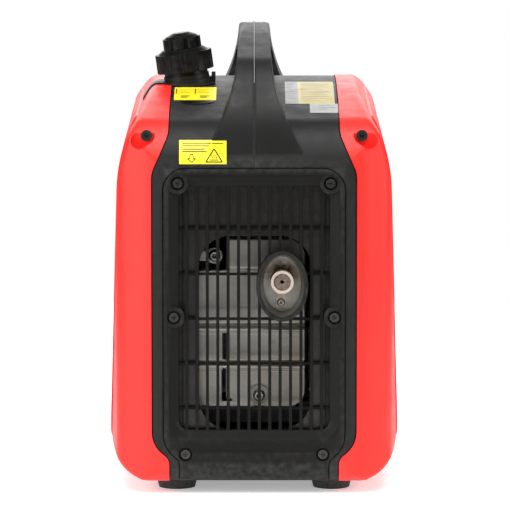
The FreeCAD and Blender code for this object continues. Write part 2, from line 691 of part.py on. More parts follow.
def muffler():
    """Pressed steel box with a seam flange, its tail pipe and the pipe from the exhaust port."""
    shell = prism("XZ", plate(-MUFFLER_X, MUFFLER_X, MUFFLER_Z0, MUFFLER_Z1, 22), MUFFLER_Y0, MUFFLER_Y1)
    shell = rounded(shell, 8, lambda e: e.BoundBox.YLength < 0.01)
    middle = (MUFFLER_Y0 + MUFFLER_Y1) / 2
    seam = prism("XZ", plate(-MUFFLER_X - 3, MUFFLER_X + 3, MUFFLER_Z0 - 3, MUFFLER_Z1 + 3, 24),
                 middle - 1.2, middle + 1.2)
    inside = prism("XZ", plate(-MUFFLER_X + 2, MUFFLER_X - 2, MUFFLER_Z0 + 2, MUFFLER_Z1 - 2, 20),
                   MUFFLER_Y0 + 2, MUFFLER_Y1 - 2)
    tail = rod_y(PIPE_X, PIPE_Z, PIPE_R, PIPE_END, MUFFLER_Y0 + 10)
    port_y = CRANK_Y - HEAD_END
    x = max(HEAD_X, -MUFFLER_X + 14)
    inlet = pipe([(x, MUFFLER_Y1 - 2, HEAD_Z - 8), (x, MUFFLER_Y1 + 12, HEAD_Z - 8),
                  (HEAD_X, port_y - 10, HEAD_Z), (HEAD_X, port_y, HEAD_Z)], PORT_R, (14, 14))
    bosses = [rod_y(bx, bz, 6, SHIELD_Y + SHIELD_T, MUFFLER_Y0 + 1) for bx, bz in EXHAUST_BOLTS]
    body = fuse([shell, seam, tail, inlet] + bosses).cut(inside.cut(tail))
    body = body.cut(rod_y(PIPE_X, PIPE_Z, PIPE_R - PIPE_WALL, -LENGTH, MUFFLER_Y0 + 11))
    for bx, bz in EXHAUST_BOLTS:
        body = body.cut(rod_y(bx, bz, 2.5, -LENGTH, MUFFLER_Y0 + 1))
    return largest(body)


def muffler_shield():
    """Stamped heat shield: a plate with turned edges, pressed ribs, vents and a hole for the pipe."""
    low, high = MUFFLER_Z0 - 5, MUFFLER_Z1 + 13
    plan = plate(-MUFFLER_X - 6, 54, low, high, 20)
    shield = prism("XZ", plan, SHIELD_Y, SHIELD_Y + 9)
    shield = shield.cut(prism("XZ", inset(plan, SHIELD_T), SHIELD_Y + SHIELD_T, SHIELD_Y + 10))
    ribs = []
    for z in (low + 40, low + 78):
        ribs.append(rod((-MUFFLER_X + 6, SHIELD_Y + SHIELD_T, z), (1, 0, 0), 3.2, MUFFLER_X + 34))
    bead = rod_y(PIPE_X, PIPE_Z, PIPE_R + 13, SHIELD_Y - 2, SHIELD_Y + SHIELD_T)
    shield = shield.fuse([r.cut(box(-LENGTH, LENGTH, SHIELD_Y + SHIELD_T, 0, 0, LENGTH)) for r in ribs] + [bead])
    shield = shield.cut(rod_y(PIPE_X, PIPE_Z, PIPE_R + 9, -LENGTH, 0))
    for z0, z1 in ((low + 10, low + 34), (low + 47, low + 72)):
        shield = shield.cut(prism("XZ", plate(-30.5, -25.5, z0, z1, 2.4), -LENGTH, 0))
    for bx, bz in EXHAUST_BOLTS:
        shield = shield.cut(rod_y(bx, bz, 2.5, -LENGTH, 0))
    return largest(shield)


def spark_arrester():
    """Cap on the tail pipe: a rim, a pierced disc and a clamp tab."""
    body = rod_y(PIPE_X, PIPE_Z, PIPE_R + 1.2, PIPE_END - 3, PIPE_END + 8)
    body = body.cut(rod_y(PIPE_X, PIPE_Z, PIPE_R, PIPE_END, 0))
    body = body.cut(rod_y(PIPE_X, PIPE_Z, PIPE_R - 1.6, -LENGTH, PIPE_END - 1.2))
    body = body.cut(rod_y(PIPE_X, PIPE_Z, 2, -LENGTH, 0))
    for ring, count in ((4.4, 6), (7.0, 11)):
        for i in range(count):
            a = 2 * math.pi * i / count
            body = body.cut(rod_y(PIPE_X + ring * math.cos(a), PIPE_Z + ring * math.sin(a), 0.9, -LENGTH, 0))
    tab_y = DISH_FLOOR - DISH_T - 1.5
    tab = box(PIPE_X - 6, PIPE_X + 4, tab_y, tab_y + 1.5, TAB_SCREW_Z - 5, PIPE_Z - PIPE_R - 2)
    stem = box(PIPE_X - 6, PIPE_X + 4, PIPE_END + 3, tab_y + 1.5, PIPE_Z - PIPE_R - 2.5, PIPE_Z - PIPE_R + 1.5)
    body = body.fuse([stem.cut(rod_y(PIPE_X, PIPE_Z, PIPE_R, -LENGTH, 0)), tab])
    return largest(body.cut(rod_y(PIPE_X - 1, TAB_SCREW_Z, SCREW_SHANK_R, -LENGTH, 0)))


def exhaust_screws():
    """The clamp tab's screw and the shield's two bolts."""
    tab_y = DISH_FLOOR - DISH_T - 1.5
    tab = rod_y(PIPE_X - 1, TAB_SCREW_Z, TAB_HEAD_R, tab_y - 3, tab_y)
    screws = [fuse([tab, rod_y(PIPE_X - 1, TAB_SCREW_Z, SCREW_SHANK_R, tab_y, DISH_FLOOR + 2)])]
    for x, z in EXHAUST_BOLTS:
        head = rod_y(x, z, 6, SHIELD_Y - 4.2, SHIELD_Y)
        screws.append(fuse([head, rod_y(x, z, 2.5, SHIELD_Y, MUFFLER_Y0 + 1)]))
    return Part.makeCompound(screws)


# ================================================================ filler and tank
TANK_FLOOR = DECK - 88.0
TANK_WALL = 2.5
TANK_GAP = 9.0            # housing's skin to the tank


def fuel_tank():
    """Moulded tank under the deck, hollow, with its neck through the deck and an outlet below."""
    zone = box(-WIDTH, WIDTH, -END_Y + 54, END_Y - 124, TANK_FLOOR, HEIGHT)
    inner_zone = box(-WIDTH, WIDTH, -END_Y + 54 + TANK_WALL, END_Y - 124 - TANK_WALL,
                     TANK_FLOOR + TANK_WALL, HEIGHT)
    body = housing(TANK_GAP).common(zone)
    room = housing(TANK_GAP + TANK_WALL).common(inner_zone)
    neck = neck_rod(NECK_R, -12, NECK_H + 12)
    outlet = rod((HOSE_X, HOSE_Y, TANK_FLOOR + 1), (0, 0, -1), 3, 9)
    tank = fuse([body, neck, outlet]).cut(room).cut(neck_rod(NECK_BORE, -20, 80))
    return largest(tank.cut(rod((HOSE_X, HOSE_Y, TANK_FLOOR + 9), (0, 0, -1), 1.5, 30)))


def filler_drip_tray():
    """Stepped collar round the filler, an ear for the cap's tie, and a strip that leads drips off the shoulder."""
    disc = neck_rod(COLLAR_R + 3, -20, 40)
    strip = box(-HALF_W + 28, NECK_X, NECK_Y - 15, NECK_Y + 15, DECK - 60, HEIGHT)
    lip = housing(-1.6).cut(SKIN).common(fuse([disc, strip]))
    collar = neck_rod(COLLAR_R, -14, COLLAR_STEP + 14).fuse(neck_rod(COLLAR_R - 2, COLLAR_STEP, 5)).cut(BAND_SKIN)
    ear = box(-2, 2, NECK_Y - 3, NECK_Y + 3, -6, 13).translated(on_neck(0, COLLAR_R + 1) - V(0, NECK_Y, 0))
    covers = SKIN.cut(BAND_PRISM)
    lip = fuse([lip, collar.cut(covers), ear.cut(BAND_SKIN)]).cut(handle(-FIT))
    return largest(lip.cut(neck_rod(NECK_R + 0.5, -30, 60)))


def lobed(radius, lobes, dent, start, length):
    """A round knob body whose rim is scalloped into lobes."""
    body = neck_rod(radius, start, length)
    for i in range(lobes):
        a = 2 * math.pi * (i + 0.5) / lobes
        side = V(math.cos(NECK_TILT), 0, math.sin(NECK_TILT))
        at = on_neck(start) + side * ((radius + dent) * math.cos(a)) + V(0, (radius + dent) * math.sin(a), 0)
        cutter = Part.makeCylinder(dent * 1.45, length, at, NECK_AXIS)
        body = body.cut(cutter)
    return body


CORE_R = NECK_BORE - 0.5


def fuel_cap_core():
    """The plug that seals the neck and carries the turning cap on its rim."""
    rim = neck_rod(NECK_R - 1, NECK_H, 2.5)
    plug = neck_rod(CORE_R, NECK_H - 10, 11)
    post = neck_rod(6, NECK_H, CAP_BASE + CAP_H - NECK_H - 6)
    return fuse([rim, plug, post])


def fuel_cap():
    """Lobed hand cap, hollow below, turning on the core's post."""
    cap = lobed(CAP_R, CAP_LOBES, CAP_DENT, CAP_BASE, CAP_H - 4)
    top = CAP_BASE + CAP_H - 4
    dome = Part.makeCone(CAP_R - 2.5, CAP_R - 8, 4, on_neck(top), NECK_AXIS)
    cap = cap.fuse(dome)
    cap = cap.cut(neck_rod(NECK_R + 0.6, CAP_BASE - 1, NECK_H + 3 - CAP_BASE + 1))
    cap = cap.cut(neck_rod(6 + RUN, CAP_BASE, CAP_H - 6 + FIT))
    return largest(cap.cut(neck_rod(2.5 + RUN, CAP_BASE, CAP_H + 5)))


def fuel_vent_knob():
    """Air vent knob on the cap: scalloped, on a short spindle."""
    start = CAP_BASE + CAP_H + FIT
    knob = lobed(KNOB_R, KNOB_LOBES, KNOB_DENT, start, KNOB_H - 5)
    shoulder = Part.makeCone(KNOB_R - 1.5, KNOB_R - 4, 2, on_neck(start + KNOB_H - 5), NECK_AXIS)
    crown = Part.makeCone(KNOB_R - 4, KNOB_R - 11, 3, on_neck(start + KNOB_H - 3), NECK_AXIS)
    return largest(fuse([knob, shoulder, crown, neck_rod(2.5, start - 5, 6)]))


def labels():
    """Heat label over the grille, fuel label by the filler and data label on the deck."""
    outer = BAND_SKIN.fuse(handle(0))
    heat = outer.translated(V(0, -0.3, 0)).cut(outer)
    heat = heat.common(box(-73, -27, -END_Y - 5, -END_Y + 25, GRILLE_TOP + 4.5, GRILLE_TOP + 27))
    deck = outer.translated(V(0, 0, 0.3)).cut(outer)
    data = deck.common(box(31, 80, -148, -22, DECK - 40, HEIGHT))
    data = data.fuse(deck.common(box(55, 83, -183, -148, DECK - 40, HEIGHT)))
    fuel = deck.common(box(-80, -38, -131, NECK_Y - COLLAR_R - 5, DECK - 40, HEIGHT))
    return Part.makeCompound([largest(heat), largest(data), largest(fuel)])


# ================================================================ engine
CASE_R = 52.0
CASE_Y0 = CRANK_Y - 55.0
CASE_Y1 = CRANK_Y + 55.0
CASE_WALL = 14.0
SUMP_HALF = 58.0
SUMP_Z = BOTTOM + 40.0
MOUNT_X = 48.0
MOUNT_Y = 38.0
MOUNT_R = 14.0
SHAFT_R = 10.0
BEARING_R = 21.0
BORE_R = 23.0
THROW = 16.0              # crank radius
ROD_L = 60.0
BARREL_R = 34.0
FIN_R = 41.0


def up_cylinder(distance, across=0.0, y=None):
    """A point on the cylinder's axis (or across from it), distance from the crank axis."""
    x = UP[0] * distance + ACROSS[0] * across
    z = CRANK_Z + UP[1] * distance + ACROSS[1] * across
    return (x, CRANK_Y if y is None else y, z)


UP_DIR = (UP[0], 0, UP[1])
ACROSS_DIR = (ACROSS[0], 0, ACROSS[1])


def tilted_block(near, far, across0, across1, y0, y1):
    """A block square to the cylinder's axis."""
    corners = [up_cylinder(near, across0), up_cylinder(far, across0), up_cylinder(far, across1),
               up_cylinder(near, across1)]
    return prism("XZ", [(x, z, min(3.0, (far - near) / 3)) for x, _, z in corners], y0, y1)


def crankcase():
    """Cast case, sump and finned barrel in one, bored for bearings, crank and piston."""
    parts = [rod_y(0, CRANK_Z, CASE_R, CASE_Y0, CASE_Y1)]
    parts.append(box(-SUMP_HALF, SUMP_HALF, CASE_Y0, CASE_Y1, SUMP_Z, CRANK_Z))
    parts.append(rod(up_cylinder(30), UP_DIR, BARREL_R, 65))
    for i in range(5):
        parts.append(rod(up_cylinder(60 + 7 * i), UP_DIR, FIN_R, 2.5))
    parts.append(rod((-SUMP_HALF, FILLER_Y, FILLER_Z), (-1, 0, 0), 14, 6))
    case = fuse(parts)
    case = case.cut(rod_y(0, CRANK_Z, 44, CASE_Y0 + CASE_WALL, CASE_Y1 - CASE_WALL))
    case = case.cut(rod(up_cylinder(0), UP_DIR, BORE_R, 100))
    case = case.cut(box(-SUMP_HALF + 8, SUMP_HALF - 8, CASE_Y0 + CASE_WALL, CASE_Y1 - CASE_WALL,
                        SUMP_Z + 8, CRANK_Z - 30))
    case = case.cut(rod_y(0, CRANK_Z, BEARING_R, CASE_Y0 + 2, CASE_Y1 + 1))
    return largest(case.cut(rod((0, FILLER_Y, FILLER_Z), (-1, 0, 0), 9 + RUN, LENGTH)))


FILLER_Y = CRANK_Y - 2.0
FILLER_Z = SUMP_Z + 34.0


def oil_filler_cap():
    """Dipstick plug on the sump."""
    face = -SUMP_HALF - 6
    head = rod((face - FIT, FILLER_Y, FILLER_Z), (-1, 0, 0), 15, 5)
    grip = box(face - 12, face - 4, FILLER_Y - 2.5, FILLER_Y + 2.5, FILLER_Z - 11, FILLER_Z + 11)
    plug = rod((face + 10, FILLER_Y, FILLER_Z), (-1, 0, 0), 9, 11)
    return fuse([head, grip, plug])


def cylinder_head():
    """Finned head with an intake port at its front and an exhaust port at its rear."""
    near = 95.0
    block = tilted_block(near, near + 27, -HEAD_HALF + 6, HEAD_HALF - 6, CRANK_Y - HEAD_END, CRANK_Y + HEAD_END)
    fins = [tilted_block(near + 4 + 6 * i, near + 6.5 + 6 * i, -HEAD_HALF, HEAD_HALF,
                         CRANK_Y - HEAD_END + 2, CRANK_Y + HEAD_END - 2) for i in range(4)]
    head = fuse([block] + fins)
    chamber = Part.makeSphere(BORE_R + 6, V(*up_cylinder(near - 18)))
    head = head.cut(chamber)
    head = head.cut(rod_y(HEAD_X, HEAD_Z, 8, CRANK_Y - LENGTH, CRANK_Y - 12))
    head = head.cut(rod_y(HEAD_X, HEAD_Z, 8, CRANK_Y + 12, CRANK_Y + LENGTH))
    return largest(head.cut(rod(up_cylinder(HEAD_AT, 10), ACROSS_DIR, 7, 60)))


def rocker_cover():
    """Pressed cover over the valve gear."""
    cover = tilted_block(122, 142, -HEAD_HALF + 10, HEAD_HALF - 10, CRANK_Y - 33, CRANK_Y + 33)
    inside = tilted_block(121, 140, -HEAD_HALF + 12, HEAD_HALF - 12, CRANK_Y - 31, CRANK_Y + 31)
    flange = tilted_block(122, 124, -HEAD_HALF + 6, HEAD_HALF - 6, CRANK_Y - 37, CRANK_Y + 37)
    return fuse([cover, flange]).cut(inside)


def spark_plug():
    """Plug with its hexagon, insulator and electrode end."""
    body = rod(up_cylinder(HEAD_AT, 10), ACROSS_DIR, 7, 26)
    nut = rod(up_cylinder(HEAD_AT, 36), ACROSS_DIR, 10, 7)
    insulator = rod(up_cylinder(HEAD_AT, 43), ACROSS_DIR, 5, 22)
    return fuse([body, nut, insulator])


def ignition_lead():
    """Boot on the plug and the lead to the coil."""
    boot = rod(up_cylinder(HEAD_AT, 46), ACROSS_DIR, 8.5, 23).cut(rod(up_cylinder(HEAD_AT, 40), ACROSS_DIR, 5, 25))
    start = up_cylinder(HEAD_AT, 67)
    knee = up_cylinder(HEAD_AT, 84)
    lead = pipe([start, knee, (COIL_X, COIL_Y, COIL_Z + 44), (COIL_X, COIL_Y, COIL_Z + 15)], 3.2, (8, 12))
    return fuse([boot, lead])


COIL_X = 50.0
COIL_Y = CASE_Y1 - 16.0
COIL_Z = CRANK_Z + 72.0


def ignition_coil():
    """Coil block on a foot that stands on the crankcase."""
    block = box(COIL_X - 14, COIL_X + 14, COIL_Y - 12, COIL_Y + 12, COIL_Z - 15, COIL_Z + 15)
    foot = box(COIL_X - 22, COIL_X - 8, COIL_Y - 8, COIL_Y + 8, CRANK_Z, COIL_Z - 10)
    return largest(rounded(block, 3, lambda e: e.BoundBox.ZLength > 20).fuse(foot).cut(
        rod_y(0, CRANK_Z, CASE_R, CASE_Y0, CASE_Y1)).cut(
        box(-SUMP_HALF, SUMP_HALF, CASE_Y0, CASE_Y1, SUMP_Z, CRANK_Z)))


PIN_R = 5.5               # gudgeon pin
PIN_HALF = 13.0
WEB_T = 12.0
WEB_END = PIN_HALF + WEB_T


def crank_throw():
    """The crank's webs and pin at top dead centre, with the rear journal."""
    pin_x, _, pin_z = up_cylinder(THROW)
    parts = [rod_y(pin_x, pin_z, 8, CRANK_Y - PIN_HALF - 1, CRANK_Y + PIN_HALF + 1)]
    for y0 in (CRANK_Y - WEB_END, CRANK_Y + PIN_HALF):
        web = rod_y(0, CRANK_Z, 38, y0, y0 + WEB_T)
        notch = tilted_block(4, 60, 16, 60, y0, y0 + WEB_T)
        other = tilted_block(4, 60, -60, -16, y0, y0 + WEB_T)
        parts.append(web.cut(notch).cut(other))
    parts.append(rod_y(0, CRANK_Z, SHAFT_R, CASE_Y0 + 2, CRANK_Y - WEB_END + 1))
    return fuse(parts)


SHAFT_Y0 = CRANK_Y + WEB_END + 1.0
FAN_Y0 = CASE_Y1 + 53.0
FAN_Y1 = CASE_Y1 + 74.0
REEL_T = 12.0


def crankshaft():
    """The turning shaft from the front web to the starter end, with its nut."""
    shaft = rod_y(0, CRANK_Z, SHAFT_R, SHAFT_Y0, FAN_Y1)
    return fuse([shaft, rod_y(0, CRANK_Z, 14, FAN_Y1 - 1, FAN_Y1 + 7)])


def main_bearings():
    """Two bearings in the case walls."""
    rear = tube_y(0, CRANK_Z, BEARING_R, SHAFT_R, CASE_Y0 + 2, CASE_Y0 + CASE_WALL)
    front = tube_y(0, CRANK_Z, BEARING_R, SHAFT_R + RUN, CASE_Y1 - CASE_WALL, CASE_Y1)
    return Part.makeCompound([rear, front])


def piston():
    """Piston at the top of its stroke, hollow below the crown."""
    skirt = rod(up_cylinder(THROW + ROD_L - 14), UP_DIR, BORE_R - 0.1, 28)
    hollow = rod(up_cylinder(THROW + ROD_L - 15), UP_DIR, BORE_R - 4, 24)
    pin_x, _, pin_z = up_cylinder(THROW + ROD_L)
    pin = rod_y(pin_x, pin_z, PIN_R, CRANK_Y - BORE_R + 2, CRANK_Y + BORE_R - 2)
    return largest(skirt.cut(hollow).fuse(pin))


def connecting_rod():
    """Rod between the crank pin and the gudgeon pin."""
    big_x, _, big_z = up_cylinder(THROW)
    small_x, _, small_z = up_cylinder(THROW + ROD_L)
    big = rod_y(big_x, big_z, 14, CRANK_Y - 8, CRANK_Y + 8)
    small = rod_y(small_x, small_z, 9, CRANK_Y - 7, CRANK_Y + 7)
    shank = tilted_block(THROW, THROW + ROD_L, -6, 6, CRANK_Y - 4, CRANK_Y + 4)
    arm = fuse([big, small, shank])
    arm = arm.cut(rod_y(big_x, big_z, 8, CRANK_Y - 20, CRANK_Y + 20))
    return largest(arm.cut(rod_y(small_x, small_z, PIN_R, CRANK_Y - 20, CRANK_Y + 20)))


ROTOR_R = 66.0


def alternator_rotor():
    """Bell that carries the magnets round the stator."""
    web_y = CASE_Y1 + 42
    bell = tube_y(0, CRANK_Z, ROTOR_R, ROTOR_R - 6, CASE_Y1 + 8, web_y + 6)
    web = rod_y(0, CRANK_Z, ROTOR_R - 1, web_y, web_y + 6)
    hub = rod_y(0, CRANK_Z, 15, web_y - 6, FAN_Y0 - FIT)
    return fuse([bell, web, hub]).cut(rod_y(0, CRANK_Z, SHAFT_R, CASE_Y0, FAN_Y1))


def alternator_stator():
    """Twelve wound teeth on a ring bolted to the crankcase."""
    foot = tube_y(0, CRANK_Z, 30, 17, CASE_Y1, CASE_Y1 + 36)
    parts = [foot]
    for i in range(12):
        a = 360 * i / 12
        tooth = box(28, 56, CASE_Y1 + 12, CASE_Y1 + 34, CRANK_Z - 5, CRANK_Z + 5)
        tooth = tooth.fuse(box(52, 58, CASE_Y1 + 10, CASE_Y1 + 36, CRANK_Z - 8, CRANK_Z + 8))
        tooth.rotate(V(0, 0, CRANK_Z), V(0, 1, 0), a)
        parts.append(tooth)
    return fuse(parts)


FAN_R = 76.0
SHROUD_R = 87.0


def cooling_fan():
    """Radial fan with the starter's drive cup at its middle."""
    back = rod_y(0, CRANK_Z, FAN_R - 2, FAN_Y0, FAN_Y0 + 3)
    parts = [back, rod_y(0, CRANK_Z, 17, FAN_Y0, FAN_Y1 - 1)]
    for i in range(14):
        blade = box(30, FAN_R, FAN_Y0, FAN_Y1 - 4, CRANK_Z - 1.2, CRANK_Z + 1.2)
        blade.rotate(V(0, 0, CRANK_Z), V(0, 1, 0), 360 * i / 14)
        parts.append(blade)
    fan = fuse(parts)
    return fan.cut(rod_y(0, CRANK_Z, SHAFT_R, FAN_Y0 - 5, FAN_Y1 + 5))


def fan_shroud():
    """Duct round the rotor and fan, with a ring at each end."""
    duct = tube_y(0, CRANK_Z, SHROUD_R, SHROUD_R - 3, CASE_Y1, FAN_Y1 + 6)
    rear = tube_y(0, CRANK_Z, SHROUD_R, CASE_R - 5, CASE_Y1, CASE_Y1 + 3)
    front = tube_y(0, CRANK_Z, SHROUD_R, CUP_R + 2, FAN_Y1 + 6, FAN_Y1 + 9)
    return fuse([duct, rear, front])


CUP_R = 53.0
CUP_Y0 = FAN_Y1 + 9.0
CUP_Y1 = REEL_Y + 14.0
POST_R = 8.0


def recoil_housing():
    """Cup over the reel, with its post, air holes and the rope's way out."""
    cup = tube_y(0, CRANK_Z, CUP_R, CUP_R - 3, CUP_Y0, CUP_Y1)
    parts = [cup, tube_y(0, CRANK_Z, CUP_R + 9, CUP_R - 3, CUP_Y0, CUP_Y0 + 3)]
    parts.append(rod_y(0, CRANK_Z, CUP_R, CUP_Y1 - 3, CUP_Y1))
    parts.append(rod_y(0, CRANK_Z, POST_R, REEL_Y - REEL_T / 2, CUP_Y1))
    shell = fuse(parts)
    for i in range(8):
        a = 2 * math.pi * i / 8
        shell = shell.cut(rod_y(30 * math.cos(a), CRANK_Z + 30 * math.sin(a), 6, CUP_Y1 - 5, CUP_Y1 + 5))
    return shell.cut(rod((20, REEL_Y, ROPE_Z), (1, 0, 0), ROPE_R + 2, 50))


def recoil_pulley():
    """Reel with a rope groove, turning on the housing's post."""
    reel = rod_y(0, CRANK_Z, REEL_R + 9, REEL_Y - REEL_T / 2, REEL_Y + REEL_T / 2)
    groove = tube_y(0, CRANK_Z, REEL_R + 20, REEL_R, REEL_Y - ROPE_R - 1, REEL_Y + ROPE_R + 1)
    return reel.cut(groove).cut(rod_y(0, CRANK_Z, POST_R + RUN, REEL_Y - 20, REEL_Y + 20))


ROPE_END = HALF_W - 11.0


def starter_rope():
    """The rope: a turn on the reel, then straight to the grip."""
    wound = Part.makeTorus(REEL_R + ROPE_R + FIT, ROPE_R, V(0, REEL_Y, CRANK_Z), V(0, 1, 0))
    run = rod((0, REEL_Y, ROPE_Z + FIT), (1, 0, 0), ROPE_R, ROPE_END)
    return fuse([wound, run])


def rope_guide():
    """Bush in the finger pocket's floor."""
    bush = rod((POCKET_FLOOR - 8, POCKET_Y, ROPE_Z), (1, 0, 0), GUIDE_R, 10)
    return bush.cut(rod((0, POCKET_Y, ROPE_Z + FIT), (1, 0, 0), ROPE_R + 1, WIDTH))


def recoil_grip():
    """Starter grip, a rounded bar across the rope."""
    x0, x1 = POCKET_FLOOR + 8, HALF_W + FIELD_PROUD - FIT
    bar = prism("XY", plate(x0, x1, POCKET_Y - GRIP_L / 2, POCKET_Y + GRIP_L / 2, 7),
                ROPE_Z - GRIP_H / 2, ROPE_Z + GRIP_H / 2)
    bar = rounded(bar, 3, lambda e: e.BoundBox.ZLength < 0.01)
    stem = rod((POCKET_FLOOR + 3, POCKET_Y, ROPE_Z), (1, 0, 0), 7, 10)
    bar = fuse([bar, stem])
    return bar.cut(rod((0, POCKET_Y, ROPE_Z + FIT), (1, 0, 0), ROPE_R + FIT, ROPE_END + 0.5))


def engine_mounts():
    """Four rubber blocks between the tray and the sump."""
    mounts = []
    for sx in (-1, 1):
        for sy in (-1, 1):
            at = (sx * MOUNT_X, CRANK_Y + sy * MOUNT_Y, TRAY_TOP)
            mounts.append(rod(at, (0, 0, 1), MOUNT_R, SUMP_Z - TRAY_TOP))
    return Part.makeCompound(mounts)


# ================================================================ fuel and air
CARB_X = HEAD_X - 24.0
CARB_Z = HEAD_Z + 10.0
CARB_Y0 = CRANK_Y + HEAD_END
CARB_Y1 = CARB_Y0 + 56.0
HOSE_X = CARB_X + 36.0
HOSE_Y = CARB_Y0 + 42.0
CASE_X0 = -HALF_W + 17.0
CASE_X1 = -64.0
CLEANER_Y0 = REEL_Y - 8.0
CLEANER_Y1 = REEL_Y + 62.0
CLEANER_Z0 = CRANK_Z + 10.0
CLEANER_Z1 = TANK_FLOOR - 16.0


def carburettor():
    """Insulator block, throttle body and float bowl."""
    block = prism("XZ", [(HEAD_X - 14, HEAD_Z - 14, 6), (HEAD_X + 16, HEAD_Z - 14, 6), (HEAD_X + 16, HEAD_Z + 14, 6),
                         (CARB_X + 4, CARB_Z + 17, 6), (CARB_X - 15, CARB_Z + 17, 6), (CARB_X - 15, CARB_Z - 12, 6)],
                  CARB_Y0, CARB_Y0 + 14)
    barrel = rod_y(CARB_X, CARB_Z, 15, CARB_Y0 + 10, CARB_Y1)
    bowl = rod((CARB_X, CARB_Y0 + 32, CARB_Z - 46), (0, 0, 1), 15, 40)
    inlet = rod((CARB_X, HOSE_Y, CARB_Z + 10), (0, 0, 1), 3, 14)
    body = fuse([block, barrel, bowl, inlet])
    body = body.cut(rod_y(CARB_X, CARB_Z, 9, CARB_Y0 + 12, LENGTH))
    return largest(body.cut(rod((CARB_X, HOSE_Y, CARB_Z), (0, 0, 1), 1.5, 60)))


def fuel_hose():
    """Hose from the tank's outlet down to the carburettor's inlet."""
    level = CARB_Z + 30
    run = [(CARB_X, HOSE_Y, CARB_Z + 16), (CARB_X, HOSE_Y, level), (HOSE_X, HOSE_Y, level),
           (HOSE_X, HOSE_Y, TANK_FLOOR)]
    hose = pipe(run, 5, (9, 9))
    return hose.cut(pipe([(CARB_X, HOSE_Y, CARB_Z + 10)] + run[1:3] + [(HOSE_X, HOSE_Y, TANK_FLOOR + 5)], 3, (9, 9)))


def air_cleaner_case():
    """Box for the filter, with a removable-looking lid line and the duct to the carburettor."""
    case = box(CASE_X0, CASE_X1, CLEANER_Y0, CLEANER_Y1, CLEANER_Z0, CLEANER_Z1)
    case = rounded(case, 8, lambda e: e.BoundBox.XLength > 20)
    room = box(CASE_X0 + 3, CASE_X1 - 3, CLEANER_Y0 + 3, CLEANER_Y1 - 3, CLEANER_Z0 + 3, CLEANER_Z1 - 3)
    rim = box(CASE_X0 + 12, CASE_X0 + 15, CLEANER_Y0 - 1.5, CLEANER_Y1 + 1.5, CLEANER_Z0 - 1.5, CLEANER_Z1 + 1.5)
    duct = rod_y(CARB_X, CARB_Z, 17, CARB_Y1 - 6, CLEANER_Y0 + 3)
    case = fuse([case, rim, duct]).cut(room)
    case = case.cut(rod_y(CARB_X, CARB_Z, 15, CARB_Y0, CARB_Y1))
    case = case.cut(rod_y(CARB_X, CARB_Z, 13, CARB_Y0, CLEANER_Y0 + 10))
    return largest(case)


def air_filter():
    """Foam block in the case, clear of the duct's mouth."""
    return box(CASE_X0 + 3, CASE_X1 - 3, CLEANER_Y0 + 16, CLEANER_Y1 - 16, CLEANER_Z0 + 3, CLEANER_Z1 - 3)


# ================================================================ electrics and control panel
PANEL_Y = END_Y - PANEL_SUNK
LID_GAP = 0.6
LID_T = 3.0
LID_AXIS_Y = PANEL_Y + 7.0
LID_AXIS_Z = SOCKET_Z + SOCKET_SIZE / 2 + 4.0
ROCKER_R = 10.5
ROCKER_Z = DIAL_Z - 44.0
BUTTON_R = 6.0
BUTTON_X = -44.0
MODULE = (-44.0, DIAL_Z - 5.0, 56.0, 32.0)
LAMPS = [(-62.0 + 18 * i, DIAL_Z + 28.0) for i in range(3)]
STUD_Z = PANEL_Z0 + 11.0
STUD_R = 3.0


def inverter_unit():
    """Finned inverter on its feet."""
    y0, y1 = END_Y - 84, END_Y - 22
    x, z0, z1 = 72, TRAY_TOP + 9, PANEL_Z0 - 12
    parts = [box(-x, x, y0 + 18, y1, z0, z1)]
    for i in range(13):
        fx = -x + 2 + i * (2 * x - 4) / 12
        parts.append(box(fx - 1.2, fx + 1.2, y0, y0 + 19, z0, z1))
    for fx in (-x + 8, x - 8):
        parts.append(box(fx - 6, fx + 6, y0 + 22, y1 - 4, TRAY_TOP, z0))
    unit = fuse(parts)
    return largest(unit.cut(tray_ribs(FIT)))


def control_panel():
    """Sunk panel with a raised frame, pierced for everything it carries."""
    panel = prism("XZ", PANEL, PANEL_Y - PANEL_T, END_Y - 1)
    panel = panel.cut(prism("XZ", inset(PANEL, 3), PANEL_Y, LENGTH))
    brackets = []
    for side in (-1, 1):
        x = DIAL_X + side * 9.5
        brackets.append(box(x - 1.5, x + 1.5, PANEL_Y - 9, PANEL_Y - 1, ROCKER_Z - 5, ROCKER_Z + 5))
    panel = panel.fuse(brackets)
    panel = panel.cut(box(DIAL_X - 7.5, DIAL_X + 7.5, PANEL_Y - 20, LENGTH, ROCKER_Z - 11, ROCKER_Z + 11))
    panel = panel.cut(rod((DIAL_X - 30, PANEL_Y - 5, ROCKER_Z), (1, 0, 0), 1.5 + RUN, 60))
    panel = panel.cut(rod_y(DIAL_X, DIAL_Z, 4 + RUN, 0, LENGTH))
    panel = panel.cut(rod_y(BUTTON_X, ROCKER_Z, BUTTON_R + RUN, 0, LENGTH))
    for side in (-1, 1):
        half = SOCKET_SIZE / 2 - 4
        hole = plate(side * SOCKET_X - half, side * SOCKET_X + half, SOCKET_Z - half, SOCKET_Z + half, 8)
        panel = panel.cut(prism("XZ", hole, 0, LENGTH))
    x, z, w, h = MODULE
    panel = panel.cut(box(x - w / 2 + 4, x + w / 2 - 4, 0, LENGTH, z - h / 2 + 4, z + h / 2 - 4))
    for x, z in LAMPS:
        panel = panel.cut(rod_y(x, z, 3, 0, LENGTH))
    return largest(panel.cut(rod_y(0, STUD_Z, STUD_R, 0, LENGTH)))


